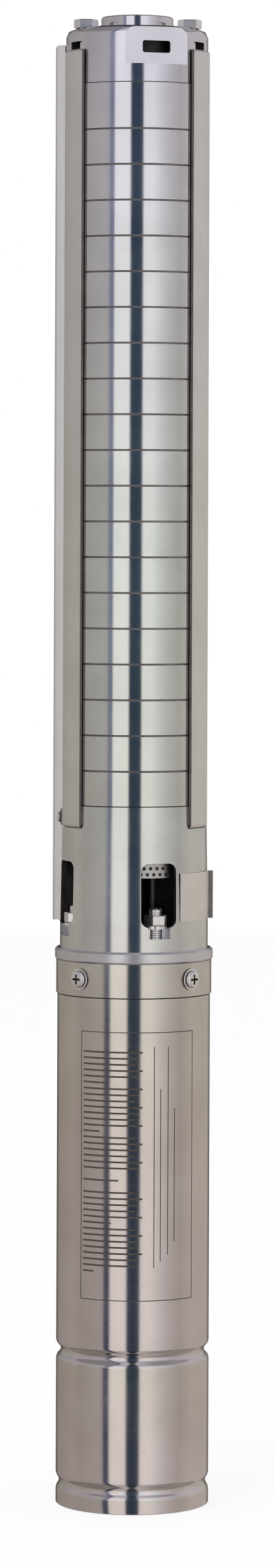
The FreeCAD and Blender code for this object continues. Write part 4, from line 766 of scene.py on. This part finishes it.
def makeWorld(look):
    world = bpy.data.worlds.new("whiteStudio")
    bpy.context.scene.world = world
    world.use_nodes = True
    tree = world.node_tree
    tree.nodes.clear()
    path = addNode(tree, "ShaderNodeLightPath")
    cameraOrGlossy = addNode(tree, "ShaderNodeMath", operation="MAXIMUM", links={
        0: path.outputs["Is Camera Ray"], 1: path.outputs["Is Glossy Ray"]})
    seen = addNode(tree, "ShaderNodeMath", operation="MAXIMUM", links={
        0: cameraOrGlossy.outputs[0], 1: path.outputs["Is Transmission Ray"]})
    strength = addNode(tree, "ShaderNodeMapRange", {"To Min": look["worldLight"], "To Max": 1},
                       {"Value": seen.outputs[0]})
    white = addNode(tree, "ShaderNodeBackground", {"Color": (1, 1, 1, 1)},
                    {"Strength": strength.outputs[0]})
    addNode(tree, "ShaderNodeOutputWorld", links={"Surface": white.outputs[0]})


def makeSoftbox(look):
    lamp = bpy.data.lights.new("softbox", "AREA")
    lamp.shape, lamp.size, lamp.energy = "SQUARE", look["size"], look["power"]
    softbox = bpy.data.objects.new("softbox", lamp)
    bpy.context.scene.collection.objects.link(softbox)
    softbox.location = look["place"]
    towards = Vector(look["aim"]) - softbox.location
    softbox.rotation_euler = towards.to_track_quat("-Z", "Y").to_euler()
    softbox.visible_glossy = False


makeFloor(stage)
makeSurround(stage)
makeWorld(stage)
makeSoftbox(stage["softbox"])
print("stage set")


photoCamera = {
    "width": 447, "height": 2560, "sensor": 36,
    "focalPixels": 8378, "horizonRow": 853, "axisColumn": 221, "roll": -0.22,
    "distance": 3.2, "eyeHeight": 0.6104,
}


def makeCamera(look):
    data = bpy.data.cameras.new("photoCamera")
    camera = bpy.data.objects.new("photoCamera", data)
    bpy.context.scene.collection.objects.link(camera)
    data.sensor_width = look["sensor"]
    data.lens = look["focalPixels"] / look["height"] * look["sensor"]
    data.shift_x = (look["width"] / 2 - look["axisColumn"]) / look["height"]
    data.shift_y = (look["horizonRow"] - look["height"] / 2) / look["height"]
    camera.location = (0, -look["distance"], look["eyeHeight"])
    camera.rotation_euler = (math.pi / 2, math.radians(look["roll"]), 0)
    bpy.context.scene.camera = camera


makeCamera(photoCamera)
bpy.context.scene.view_settings.view_transform = "Standard"
